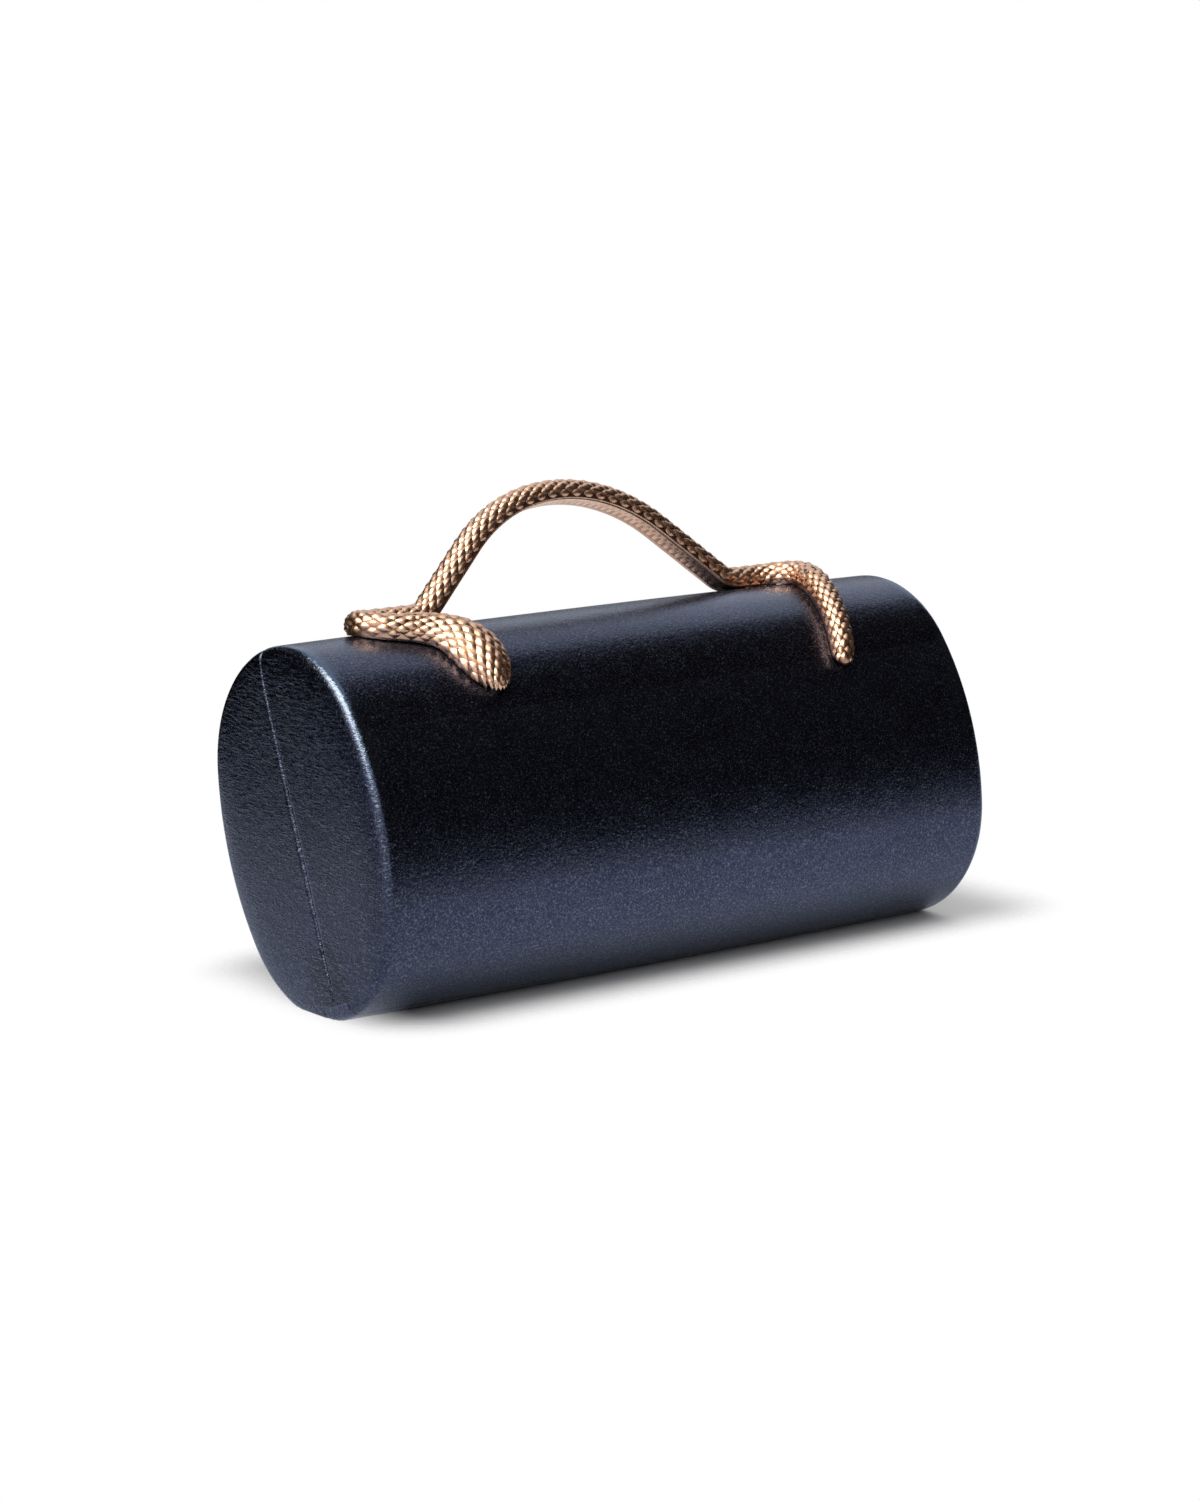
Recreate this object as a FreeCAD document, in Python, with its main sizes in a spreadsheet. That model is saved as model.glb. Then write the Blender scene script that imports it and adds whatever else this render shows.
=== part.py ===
import FreeCAD, Part
import math
import os
import Sketcher

# Hard-shell barrel bag in two halves, hinged along the bottom, with a cast snake for a handle.
# Every sub-part is drawn in the parting frame: X along the barrel, Y square to the parting plane
# (plus is the back), Z up in that plane, origin at the centre of the oval section. Its Placement
# then leans it back and lifts it on to its base.

SIZES = [
    # Barrel
    ("half_height", 50.0, "half of the oval section along the parting plane"),
    ("half_width", 38.2, "half of the oval section across the parting plane"),
    ("side_radius", 82.0, "radius of the flat sides of the oval"),
    ("barrel_length", 207.0, "overall length"),
    ("lean", 21.3, "degrees that the parting plane leans back"),
    ("base_depth", 2.0, "depth of the flat base under the back half"),
    ("rim_radius", 3.0, "rounding where the barrel meets its ends"),
    ("seam_gap", 0.3, "gap between the closed halves"),
    # Layers of the wall
    ("leather", 1.2, "thickness of the leather"),
    ("core", 2.35, "thickness of the stiff shell"),
    ("lining", 2.6, "thickness of the padded lining"),
    ("glue_gap", 0.05, "glue line between two layers"),
    ("panel_border", 2.5, "leather turned over the rim on to the end faces"),
    ("panel_gap", 0.15, "gap round an end panel"),
    # Leather strip over the hinge
    ("strip_half_width", 6.0, "half width of the strip"),
    ("strip_thickness", 1.0, "thickness of the strip"),
    ("strip_rise", 4.5, "height of the strip's tabs on the end faces"),
    ("strip_gap", 0.25, "gap between the strip and the leather beside it"),
    # Hinge
    ("hinge_depth", 3.3, "hinge axis under the outer surface"),
    ("hinge_length", 154.0, "length of the hinge"),
    ("knuckle_radius", 1.6, "outer radius of a knuckle"),
    ("knuckle_gap", 0.3, "gap between two knuckles"),
    ("pin_radius", 0.8, "radius of the hinge pin"),
    ("running_gap", 0.05, "clearance round pins, rivets, screws and magnets"),
    ("leaf_width", 11.0, "reach of a leaf from the hinge axis"),
    ("leaf_thickness", 0.8, "thickness of a leaf"),
    ("leaf_gap", 0.12, "clearance round a leaf in its recess"),
    ("hinge_relief", 2.2, "half width of the slot that the knuckles turn in"),
    ("rivet_radius", 1.0, "radius of a rivet's shank"),
    ("rivet_head_radius", 1.8, "radius of a rivet's head"),
    ("rivet_head", 0.5, "height of a rivet's head"),
    ("rivet_grip", 0.9, "depth of a rivet in the stiff shell"),
    ("rivet_place", 6.5, "distance of the rivets from the hinge axis"),
    # Closure
    ("magnet_length", 22.0, "length of a bar magnet"),
    ("magnet_height", 1.5, "height of a bar magnet"),
    ("magnet_depth", 4.0, "depth of a bar magnet behind the mouth"),
    ("magnet_place", 30.0, "distance of a magnet's middle from mid-length"),
    # Handle
    ("body_width", 7.4, "width of the snake's body"),
    ("body_thickness", 6.0, "thickness of the snake's body, from its flat belly to its back"),
    ("handle_plane", 4.0, "distance of the arch in front of the parting plane"),
    ("arch_rise", 33.4, "middle of the arch's top above the barrel's top"),
    ("arch_radius", 50.0, "radius of the arch"),
    ("arch_angle", 42.0, "degrees that the arch turns to each side"),
    ("foot_radius", 7.0, "bend from a leg into its run along the barrel"),
    ("head_reach", 77.0, "outermost place of the snake on the head's side"),
    ("head_bend", 8.0, "bend of the neck"),
    ("neck_turn", 154.0, "degrees that the neck turns"),
    ("neck_length", 8.0, "straight length of the neck"),
    ("nape_radius", 16.0, "bend from the neck into the head"),
    ("nape_turn", 62.5, "degrees that the nape turns back"),
    ("snout_length", 12.2, "straight length of the head"),
    ("tail_reach", 73.0, "outermost place of the snake on the tail's side"),
    ("tail_bend", 10.5, "bend of the tail"),
    ("tail_turn", 108.0, "degrees that the tail turns"),
    ("tail_length", 40.0, "straight length of the tail below its bend"),
    ("head_width", 15.8, "width of the head"),
    ("head_thickness", 7.0, "thickness of the head"),
    ("head_length", 33.0, "length from the snout to where the neck is slimmest"),
    ("neck_taper", 5.0, "length over which the neck turns into the body"),
    ("tail_tip_width", 6.2, "width of the tail near its tip"),
    ("tail_point", 5.0, "length of the rounded tip of the tail"),
    ("tail_taper", 36.0, "length over which the tail grows slim"),
    ("seat_gap", 0.2, "glue line under the snake"),
    # Fastening of the handle
    ("plate_seam_gap", 0.1, "gap between a backing plate and the back half"),
    ("fixing_inner", 60.0, "first screw from mid-length"),
    ("fixing_pitch", 9.0, "distance between the two screws of a foot"),
    ("plate_length", 19.0, "length of a backing plate"),
    ("plate_width", 8.0, "width of a backing plate"),
    ("plate_thickness", 0.9, "thickness of a backing plate"),
    ("screw_radius", 1.5, "radius of a screw's shank"),
    ("screw_bite", 3.6, "depth of a screw in the snake"),
    ("screw_head_radius", 2.6, "radius of a screw's head"),
    ("screw_head", 0.8, "height of a screw's head"),
]

BACK = 1
FRONT = -1
LEFT = -1
RIGHT = 1
HALF_NAMES = {BACK: "back", FRONT: "front"}
END_NAMES = {LEFT: "left", RIGHT: "right"}
KNUCKLES = 7
RIVET_PLACES = (-0.4, -0.2, 0.0, 0.2, 0.4)
# Reach of a cutting block past the surface that it cuts, and the smallest rounding that is made
MARGIN = 20.0
LEAST_RIM = 0.5
X_AXIS = FreeCAD.Vector(1, 0, 0)
Y_AXIS = FreeCAD.Vector(0, 1, 0)

doc = FreeCAD.newDocument("barrel_bag")
sheet = doc.addObject("Spreadsheet::Sheet", "Sizes")
for row, (alias, number, meaning) in enumerate(SIZES, start=1):
    sheet.set(f"A{row}", meaning)
    sheet.set(f"B{row}", str(number))
    sheet.setAlias(f"B{row}", alias)
doc.recompute()


class Size:
    """A size held both as a number and as the sheet expression that gives it."""

    def __init__(self, text, value):
        self.text = text
        self.value = float(value)

    @staticmethod
    def of(other):
        return other if isinstance(other, Size) else Size(f"({other})", other)

    def __add__(self, other):
        other = Size.of(other)
        return Size(f"({self.text} + {other.text})", self.value + other.value)

    def __sub__(self, other):
        other = Size.of(other)
        return Size(f"({self.text} - {other.text})", self.value - other.value)

    def __mul__(self, other):
        other = Size.of(other)
        return Size(f"({self.text} * {other.text})", self.value * other.value)

    def __truediv__(self, other):
        other = Size.of(other)
        return Size(f"({self.text} / {other.text})", self.value / other.value)

    def __neg__(self):
        return self * -1

    def sin(self):
        return Size(f"sin({self.text} * 1 deg)", math.sin(math.radians(self.value)))

    def cos(self):
        return Size(f"cos({self.text} * 1 deg)", math.cos(math.radians(self.value)))

    def sqrt(self):
        return Size(f"sqrt({self.text})", math.sqrt(self.value))

    def asin(self):
        return Size(f"(asin({self.text}) / 1 deg)", math.degrees(math.asin(self.value)))


def size(alias):
    return Size(f"Sizes.{alias}", sheet.get(alias))


NOTHING = Size("0", 0)
half_height = size("half_height")
half_width = size("half_width")
side_radius = size("side_radius")
length = size("barrel_length")
lean = size("lean")
seam = size("seam_gap") / 2

# The oval has four tangent arcs: the tip radius follows from the other three sizes
tip_radius = (side_radius * half_width * 2 - half_width * half_width - half_height * half_height) \
    / ((side_radius - half_height) * 2)
tip_rise = half_height - tip_radius
side_offset = side_radius - half_width
base_reach = tip_radius - size("base_depth")
lift = tip_rise * lean.cos() + base_reach

# Depths of the layers under the outer surface
core_out = size("leather") + size("glue_gap")
core_in = core_out + size("core")
lining_out = core_in + size("glue_gap")
lining_in = lining_out + size("lining")

# Hinge frame: origin on the hinge axis, Y along a leaf, Z into the bag
hinge_height = size("hinge_depth") - half_height
front_leaf_angle = (size("leaf_width") / 2 / (tip_radius - size("hinge_depth"))).asin()
LEAF_ANGLES = {BACK: lean, FRONT: -front_leaf_angle}

# Fixing frame: origin at the centre of the upper tip arc, Z along the handle's screws, which
# stand so far in front of the parting plane that the plates clear the back half
wall_inside = tip_radius - core_in
plate_span = wall_inside * wall_inside - size("plate_width") * size("plate_width") / 4
plate_top = plate_span.sqrt() - size("glue_gap")
plate_bottom = plate_top - size("plate_thickness")
plate_corner = (plate_bottom * plate_bottom + size("plate_width") * size("plate_width") / 4).sqrt()
plate_inset = size("plate_seam_gap") - seam
fixing_angle = (size("plate_width") / 2 / plate_corner).asin() + (plate_inset / plate_corner).asin()
SCREWS = (size("fixing_inner"), size("fixing_inner") + size("fixing_pitch"))
plate_middle = size("fixing_inner") + size("fixing_pitch") / 2


def bind(item, **sizes):
    """Ties properties of an object to the sheet."""
    for name, amount in sizes.items():
        setattr(item, name, amount.value)
        item.setExpression(name, amount.text)


def pose(item, x=NOTHING, y=NOTHING, z=NOTHING, angle=NOTHING, pivot=NOTHING):
    """Places an object at x, y, z of a frame that is turned about X at height pivot."""
    base = {
        "x": x,
        "y": y * angle.cos() - z * angle.sin(),
        "z": pivot + y * angle.sin() + z * angle.cos(),
    }
    spot = FreeCAD.Vector(*(part.value for part in base.values()))
    item.Placement = FreeCAD.Placement(spot, FreeCAD.Rotation(X_AXIS, angle.value))
    for axis, part in base.items():
        item.setExpression(f"Placement.Base.{axis}", part.text)
    if angle is not NOTHING:
        item.setExpression("Placement.Rotation.Angle", f"{angle.text} * 1 deg")
    return item


def box(name, x0, x1, y0, y1, z0, z1, angle=NOTHING, pivot=NOTHING):
    item = doc.addObject("Part::Box", name)
    bind(item, Length=x1 - x0, Width=y1 - y0, Height=z1 - z0)
    return pose(item, x0, y0, z0, angle, pivot)


def peg(name, radius, x, y, z0, z1, angle=NOTHING, pivot=NOTHING):
    """Cylinder that stands along Z of its frame."""
    item = doc.addObject("Part::Cylinder", name)
    bind(item, Radius=radius, Height=z1 - z0)
    return pose(item, x, y, z0, angle, pivot)


def rod(name, radius, x0, x1, height=NOTHING):
    """Cylinder that lies along X."""
    item = doc.addObject("Part::Cylinder", name)
    bind(item, Radius=radius, Height=x1 - x0)
    spot = FreeCAD.Vector(x0.value, 0, height.value)
    item.Placement = FreeCAD.Placement(spot, FreeCAD.Rotation(Y_AXIS, 90))
    item.setExpression("Placement.Base.x", x0.text)
    item.setExpression("Placement.Base.z", height.text)
    return item


def cut(name, base, *tools):
    """Takes the tools away from the base, one after the other."""
    for step, tool in enumerate(tools, start=1):
        item = doc.addObject("Part::Cut", name if step == len(tools) else f"{name}_step_{step}")
        item.Base = base
        item.Tool = tool
        base = item
    return base


def fuse(name, *shapes):
    item = doc.addObject("Part::MultiFuse", name)
    item.Shapes = list(shapes)
    return item


def common(name, *shapes):
    item = doc.addObject("Part::MultiCommon", name)
    item.Shapes = list(shapes)
    return item


def group(name, items):
    item = doc.addObject("Part::Compound", name)
    item.Links = items
    return item


def section_plane(body):
    return next(plane for plane in body.Origin.OriginFeatures if plane.Role == "YZ_Plane")


def half_section(body, half, inset):
    """Sketch of one half of the oval, inset from the outer surface: tip, side and tip arc, seam line."""
    sketch = body.newObject("Sketcher::SketchObject", f"{body.Name}_section")
    sketch.AttachmentSupport = (section_plane(body), [""])
    sketch.MapMode = "FlatFace"
    tip = (tip_radius - inset).value
    side = (side_radius - inset).value
    turn = math.atan2(side_offset.value, tip_rise.value)
    lip = math.asin(seam.value / tip)
    up = FreeCAD.Vector(0, 0, 1)
    quarter = math.pi / 2

    def arc(y, z, radius, start, end):
        if half == FRONT:
            y, start, end = -y, math.pi - end, math.pi - start
        circle = Part.Circle(FreeCAD.Vector(y, z, 0), up, radius)
        return sketch.addGeometry(Part.ArcOfCircle(circle, start, end))

    bottom = arc(0, -tip_rise.value, tip, lip - quarter, turn - quarter)
    middle = arc(-side_offset.value, 0, side, turn - quarter, quarter - turn)
    top = arc(0, tip_rise.value, tip, quarter - turn, quarter - lip)
    first, last = (1, 2) if half == BACK else (2, 1)
    ends = [FreeCAD.Vector(half * seam.value, sign * (tip_rise.value + tip * math.cos(lip)), 0)
            for sign in (1, -1)]
    line = sketch.addGeometry(Part.LineSegment(*ends))

    def require(kind, *terms):
        return sketch.addConstraint(Sketcher.Constraint(kind, *terms))

    def measure(kind, amount, *terms):
        index = require(kind, *terms, amount.value)
        sketch.renameConstraint(index, f"size_{index}")
        sketch.setExpression(f"Constraints.size_{index}", amount.text)

    require("Tangent", bottom, last, middle, first)
    require("Tangent", middle, last, top, first)
    require("Coincident", top, last, line, 1)
    require("Coincident", line, 2, bottom, first)
    require("PointOnObject", top, 3, -2)
    require("Symmetric", top, 3, bottom, 3, -1, 1)
    require("PointOnObject", middle, 3, -1)
    measure("DistanceY", tip_rise, -1, 1, top, 3)
    measure("Radius", side_radius - inset, middle)
    if half == BACK:
        measure("DistanceX", side_offset, middle, 3, -1, 1)
        measure("DistanceX", seam, -1, 1, line, 1)
        measure("DistanceX", seam, -1, 1, line, 2)
    else:
        measure("DistanceX", side_offset, -1, 1, middle, 3)
        measure("DistanceX", seam, line, 1, -1, 1)
        measure("DistanceX", seam, line, 2, -1, 1)
    return sketch


def half_prism(name, half, inset, depth):
    """Body of the half section, its pad centred on mid-length."""
    body = doc.addObject("PartDesign::Body", name)
    sketch = half_section(body, half, inset)
    pad = body.newObject("PartDesign::Pad", f"{name}_pad")
    pad.Profile = sketch
    pad.SideType = "Symmetric"
    bind(pad, Length=depth)
    doc.recompute()
    return body


def round_rims(body, radius, depth):
    """Rounds the edges where the wall meets the two ends, and not the mouth."""
    pad = body.Tip
    rims = []
    for number, edge in enumerate(pad.Shape.Edges, start=1):
        at_end = all(abs(abs(vertex.X) - depth.value / 2) < 1e-6 for vertex in edge.Vertexes)
        if at_end and isinstance(edge.Curve, Part.Circle):
            rims.append(f"Edge{number}")
    rounding = body.newObject("PartDesign::Fillet", f"{body.Name}_rim")
    rounding.Base = (pad, rims)
    bind(rounding, Radius=radius)
    doc.recompute()


def floor_block(name, inset):
    """Everything under the flat base, raised by the inset."""
    top = inset - base_reach
    return box(name, -length, length, -length, length, top - MARGIN, top, lean, -tip_rise)


floors = {}
solids = {}


def half_solid(half, depth_name, inset):
    """Solid half barrel whose surface lies inset under the outer one, with the flat base."""
    key = f"{HALF_NAMES[half]}_{depth_name}"
    if key not in solids:
        long = length - inset * 2
        prism = half_prism(f"{key}_prism", half, inset, long)
        rim = size("rim_radius") - inset
        if rim.value > LEAST_RIM:
            round_rims(prism, rim, long)
        if depth_name not in floors:
            floors[depth_name] = floor_block(f"{depth_name}_floor", inset)
        solids[key] = cut(f"{key}_solid", prism, floors[depth_name])
    return solids[key]


nodes = []


def finish(name, item, x=NOTHING, angle=NOTHING, pivot=NOTHING):
    """Makes an object a sub-part: its name, and its Placement in the standing bag."""
    item.Label = name
    tilt = angle - lean
    base = {"x": x, "y": pivot * lean.sin(), "z": lift + pivot * lean.cos()}
    spot = FreeCAD.Vector(*(part.value for part in base.values()))
    item.Placement = FreeCAD.Placement(spot, FreeCAD.Rotation(X_AXIS, tilt.value))
    for axis, part in base.items():
        item.setExpression(f"Placement.Base.{axis}", part.text)
    item.setExpression("Placement.Rotation.Angle", f"{tilt.text} * 1 deg")
    nodes.append(item)


# Openings that several sub-parts share
strip_reach = size("strip_half_width") + size("strip_gap")
strip_top = size("strip_rise") - half_height
strip_opening = box("strip_opening", -length, length, -strip_reach, strip_reach,
                    -half_height - MARGIN, strip_top + size("strip_gap"))
relief = size("hinge_relief")
core_relief = box("core_relief", -length, length, -relief, relief,
                  -half_height - MARGIN, hinge_height + relief)
lining_relief = box("lining_relief", -length, length, -relief, relief,
                    -half_height - MARGIN, lining_in - half_height + relief)
hole_radius = size("screw_radius") + size("running_gap")
hole_end = tip_radius + size("screw_bite") + size("running_gap")
screw_holes = []
for side in (LEFT, RIGHT):
    for number, place in enumerate(SCREWS, start=1):
        hole_name = f"{END_NAMES[side]}_screw_hole_{number}"
        screw_holes.append(peg(hole_name, hole_radius, place * side, NOTHING,
                               plate_bottom, hole_end, fixing_angle, tip_rise))


def leaf_box(name, half, x_gap, y0, y1, z0, z1, seated=True):
    """Box along a hinge leaf, from y0 to y1 off the axis, in the bag or in the leaf's own frame."""
    reach = size("hinge_length") / 2 + x_gap
    low, high = (y0, y1) if half == BACK else (-y1, -y0)
    if seated:
        return box(name, -reach, reach, low, high, z0, z1, LEAF_ANGLES[half], hinge_height)
    return box(name, -reach, reach, low, high, z0, z1)


leaf_face = size("leaf_thickness") / 2
leaf_gap = size("leaf_gap")


def rivet_spots(half):
    return [(size("hinge_length") * share, size("rivet_place") * half) for share in RIVET_PLACES]


def add_leather(half):
    """Wrap of the barrel wall, turned over both rims, open for the end panels and the strip."""
    name = HALF_NAMES[half]
    opening_inset = size("panel_border") - size("panel_gap")
    opening = cut(f"{name}_panel_opening",
                  half_prism(f"{name}_panel_opening_prism", half, opening_inset, length * 2),
                  floor_block(f"{name}_panel_opening_floor", opening_inset))
    tools = [half_solid(half, "leather_inside", size("leather")), opening, strip_opening]
    if half == FRONT:
        tools += screw_holes
    finish(f"{name}_leather", cut(f"{name}_leather", half_solid(half, "outside", NOTHING), *tools))


def add_end_panel(half, side):
    name = f"{HALF_NAMES[half]}_{END_NAMES[side]}_end_panel"
    inset = size("panel_border")
    panel = cut(name, half_prism(f"{name}_prism", half, inset, size("leather")),
                floor_block(f"{name}_floor", inset), strip_opening)
    finish(name, panel, x=(length - size("leather")) / 2 * side)


def add_core(half):
    """Stiff shell with its end walls, the slot for the hinge and the seats of all fasteners."""
    name = HALF_NAMES[half]
    tools = [half_solid(half, "core_inside", core_in), core_relief]
    tools.append(leaf_box(f"{name}_leaf_recess", half, leaf_gap, NOTHING, size("leaf_width") + leaf_gap,
                          -leaf_face - leaf_gap, leaf_face + size("core")))
    rivet_end = -leaf_face - size("rivet_grip") - size("running_gap")
    for number, (x, y) in enumerate(rivet_spots(half), start=1):
        tools.append(peg(f"{name}_rivet_hole_{number}", size("rivet_radius") + size("running_gap"), x, y,
                         rivet_end, NOTHING, LEAF_ANGLES[half], hinge_height))
    for side in (LEFT, RIGHT):
        recess = f"{name}_{END_NAMES[side]}_magnet_recess"
        tools.append(magnet_box(recess, half, side, size("running_gap")))
    if half == FRONT:
        tools += screw_holes
    finish(f"{name}_core", cut(f"{name}_core", half_solid(half, "core_outside", core_out), *tools))


def magnet_box(name, half, side, gap):
    """Bar magnet inside the upper wall, flush with the mouth, grown by a gap for its recess."""
    middle = size("magnet_place") * side
    reach = size("magnet_length") / 2 + gap
    level = half_height - (core_out + core_in) / 2
    rise = size("magnet_height") / 2 + gap
    near, far = seam, seam + size("magnet_depth") + gap
    low, high = (near, far) if half == BACK else (-far, -near)
    return box(name, middle - reach, middle + reach, low, high, level - rise, level + rise)


def add_magnets(half):
    name = f"{HALF_NAMES[half]}_magnets"
    finish(name, group(name, [magnet_box(f"{name}_{END_NAMES[side]}", half, side, NOTHING)
                              for side in (LEFT, RIGHT)]))


def add_lining(half):
    """Padded liner with pockets over the hinge leaf and, in front, over the backing plates."""
    name = HALF_NAMES[half]
    tools = [half_solid(half, "lining_inside", lining_in), lining_relief]
    tools.append(leaf_box(f"{name}_leaf_pocket", half, leaf_gap, NOTHING, size("leaf_width") + leaf_gap,
                          -leaf_face - size("core"), leaf_face + size("rivet_head") + leaf_gap))
    if half == FRONT:
        for side in (LEFT, RIGHT):
            middle = plate_middle * side
            reach = size("plate_length") / 2 + leaf_gap
            wide = size("plate_width") / 2 + leaf_gap
            pocket = f"{END_NAMES[side]}_plate_pocket"
            tools.append(box(pocket, middle - reach, middle + reach, -wide, wide,
                             plate_bottom - size("screw_head") - leaf_gap, tip_radius,
                             fixing_angle, tip_rise))
    blank = half_solid(half, "lining_outside", lining_out)
    finish(f"{name}_lining", cut(f"{name}_lining", blank, *tools))


def add_hinge_leaf(half):
    """Flat leaf with every second knuckle of the hinge, drawn in the hinge frame."""
    name = f"{HALF_NAMES[half]}_hinge_leaf"
    clear = size("knuckle_radius") + size("knuckle_gap")
    pieces = [leaf_box(f"{name}_plate", half, NOTHING, clear, size("leaf_width"),
                       -leaf_face, leaf_face, seated=False)]
    pitch = size("hinge_length") / KNUCKLES
    for number in range(0 if half == BACK else 1, KNUCKLES, 2):
        start = pitch * number - size("hinge_length") / 2 + size("knuckle_gap") / 2
        end = start + pitch - size("knuckle_gap")
        low, high = (NOTHING, clear + leaf_face) if half == BACK else (-clear - leaf_face, NOTHING)
        pieces.append(rod(f"{name}_knuckle_{number}", size("knuckle_radius"), start, end))
        pieces.append(box(f"{name}_web_{number}", start, end, low, high, -leaf_face, leaf_face))
    bore = rod(f"{name}_bore", size("pin_radius") + size("running_gap"), -length, length)
    holes = [peg(f"{name}_hole_{number}", size("rivet_radius") + size("running_gap"), x, y,
                 -leaf_face * 2, leaf_face * 2)
             for number, (x, y) in enumerate(rivet_spots(half), start=1)]
    leaf = cut(name, fuse(f"{name}_blank", *pieces), bore, *holes)
    finish(name, leaf, angle=LEAF_ANGLES[half], pivot=hinge_height)


def add_hinge_rivets(half):
    name = f"{HALF_NAMES[half]}_hinge_rivets"
    rivets = []
    for number, (x, y) in enumerate(rivet_spots(half), start=1):
        shank = peg(f"{name}_shank_{number}", size("rivet_radius"), x, y,
                    -leaf_face - size("rivet_grip"), leaf_face)
        head = peg(f"{name}_head_{number}", size("rivet_head_radius"), x, y,
                   leaf_face, leaf_face + size("rivet_head"))
        rivets.append(fuse(f"{name}_{number}", shank, head))
    finish(name, group(name, rivets), angle=LEAF_ANGLES[half], pivot=hinge_height)


def add_hinge_pin():
    reach = size("hinge_length") / 2
    pin = rod("hinge_pin_rod", size("pin_radius"), -reach, reach)
    finish("hinge_pin", group("hinge_pin", [pin]), pivot=hinge_height)


def add_spine_strip():
    """Leather over the hinge, turned up on both end faces, where the parting line stops."""
    thick = size("strip_thickness")
    wide = size("strip_half_width")
    outer = rod("strip_outside", tip_radius, -length / 2, length / 2, -tip_rise)
    rounded = doc.addObject("Part::Fillet", "strip_rim")
    rounded.Base = outer
    rim = size("rim_radius").value
    rounded.Edges = [(1, rim, rim), (3, rim, rim)]
    blank = common("strip_blank", rounded,
                   box("strip_block", -length, length, -wide, wide, -half_height - MARGIN, strip_top))
    inner_end = length / 2 - thick
    hollow = rod("strip_inside", tip_radius - thick, -inner_end, inner_end, -tip_rise)
    inside = cut("strip_inside_flat", hollow, floor_block("strip_inside_floor", thick))
    finish("spine_strip", cut("spine_strip", blank, floor_block("strip_floor", NOTHING), inside))


# Head: distance from the snout, width and thickness, as shares of the head's own sizes
HEAD_FORM = [(0.0, 0.20, 0.40), (0.015, 0.34, 0.52), (0.045, 0.50, 0.65), (0.11, 0.68, 0.78),
             (0.21, 0.86, 0.90), (0.33, 0.98, 0.97), (0.44, 1.00, 1.00), (0.55, 0.97, 1.00),
             (0.67, 0.86, 0.98), (0.82, 0.69, 0.94), (1.0, 0.55, 0.90)]
# Tail: distance from the tip as a share of its point, then size as a share of that near the tip
TAIL_FORM = [(0.0, 0.40), (0.13, 0.66), (0.4, 0.86)]
# Share of the thickness over which the flanks stand straight up from the flat belly
FLANK = 0.3
BODY_STEPS = 74
TAIL_STEPS = 15


class Run:
    """Half of the snake's centre line, walked outward from the top of the arch."""

    def __init__(self, side, moves):
        self.side = side
        self.seat = size("seat_gap").value
        self.body = size("body_thickness").value / 2
        self.ring = tip_radius.value + self.seat + self.body
        self.plane = size("handle_plane").value
        self.level = tip_rise.value + math.sqrt(self.ring ** 2 - self.plane ** 2)
        self.start = self.ring * math.asin(self.plane / self.ring)
        self.apex = half_height.value + size("arch_rise").value
        radius = size("arch_radius").value
        turn = math.radians(size("arch_angle").value)
        bend = size("foot_radius").value
        drop = self.apex - radius * (1 - math.cos(turn)) - self.level
        leg = drop / math.sin(turn) - bend * math.tan(turn / 2)
        self.arch = [("arc", radius, turn), ("line", leg), ("arc", bend, -turn)]
        self.foot = self.walk(self.arch, 0.0, self.apex, self.total(self.arch))[0]
        self.moves = moves(self.foot)
        self.length = self.total(self.arch) + self.total(self.moves)

    @staticmethod
    def total(moves):
        return sum(move[1] if move[0] == "line" else move[1] * abs(move[2]) for move in moves)

    @staticmethod
    def walk(moves, across, down, distance):
        """Point after a distance along lines and arcs that start out along X."""
        heading = 0.0
        sign = -1
        for move in moves:
            long = move[1] if move[0] == "line" else move[1] * abs(move[2])
            part = min(distance, long)
            if move[0] == "line":
                across += part * math.cos(heading)
                down += sign * part * math.sin(heading)
            else:
                way = math.copysign(1, move[2])
                after = heading + way * part / move[1]
                across += way * move[1] * (math.sin(after) - math.sin(heading))
                down += sign * way * move[1] * (math.cos(heading) - math.cos(after))
                heading = after
            distance -= part
            if distance <= 0:
                break
        return across, down

    def place(self, distance, thick):
        """Centre and outward normal of a ring of that half thickness, seated past the arch."""
        on_arch = self.total(self.arch)
        if distance <= on_arch:
            across, level = self.walk(self.arch, 0.0, self.apex, distance)
            return FreeCAD.Vector(self.side * across, -self.plane, level), FreeCAD.Vector(0, 0, 1)
        across, level = self.walk(self.moves, self.foot, -self.start, distance - on_arch)
        angle = -level / self.ring
        limit = math.atan2(side_offset.value, tip_rise.value)
        if angle <= limit:
            radius, centre = tip_radius.value, (0.0, tip_rise.value)
        else:
            radius, centre = side_radius.value, (side_offset.value, 0.0)
            angle = limit + (-level - limit * self.ring) / (radius + self.seat + self.body)
        normal = FreeCAD.Vector(0, -math.sin(angle), math.cos(angle))
        reach = radius + self.seat + thick
        return FreeCAD.Vector(self.side * across, centre[0], centre[1]) + normal * reach, normal


def head_moves(foot):
    bend = size("head_bend").value
    return [("line", size("head_reach").value - bend - foot),
            ("arc", bend, math.radians(size("neck_turn").value)),
            ("line", size("neck_length").value),
            ("arc", size("nape_radius").value, -math.radians(size("nape_turn").value)),
            ("line", size("snout_length").value)]


def tail_moves(foot):
    bend = size("tail_bend").value
    return [("line", size("tail_reach").value - bend - foot),
            ("arc", bend, math.radians(size("tail_turn").value)),
            ("line", size("tail_length").value)]


def even_steps(start, end, count):
    return [start + (end - start) * step / count for step in range(count + 1)]


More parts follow.
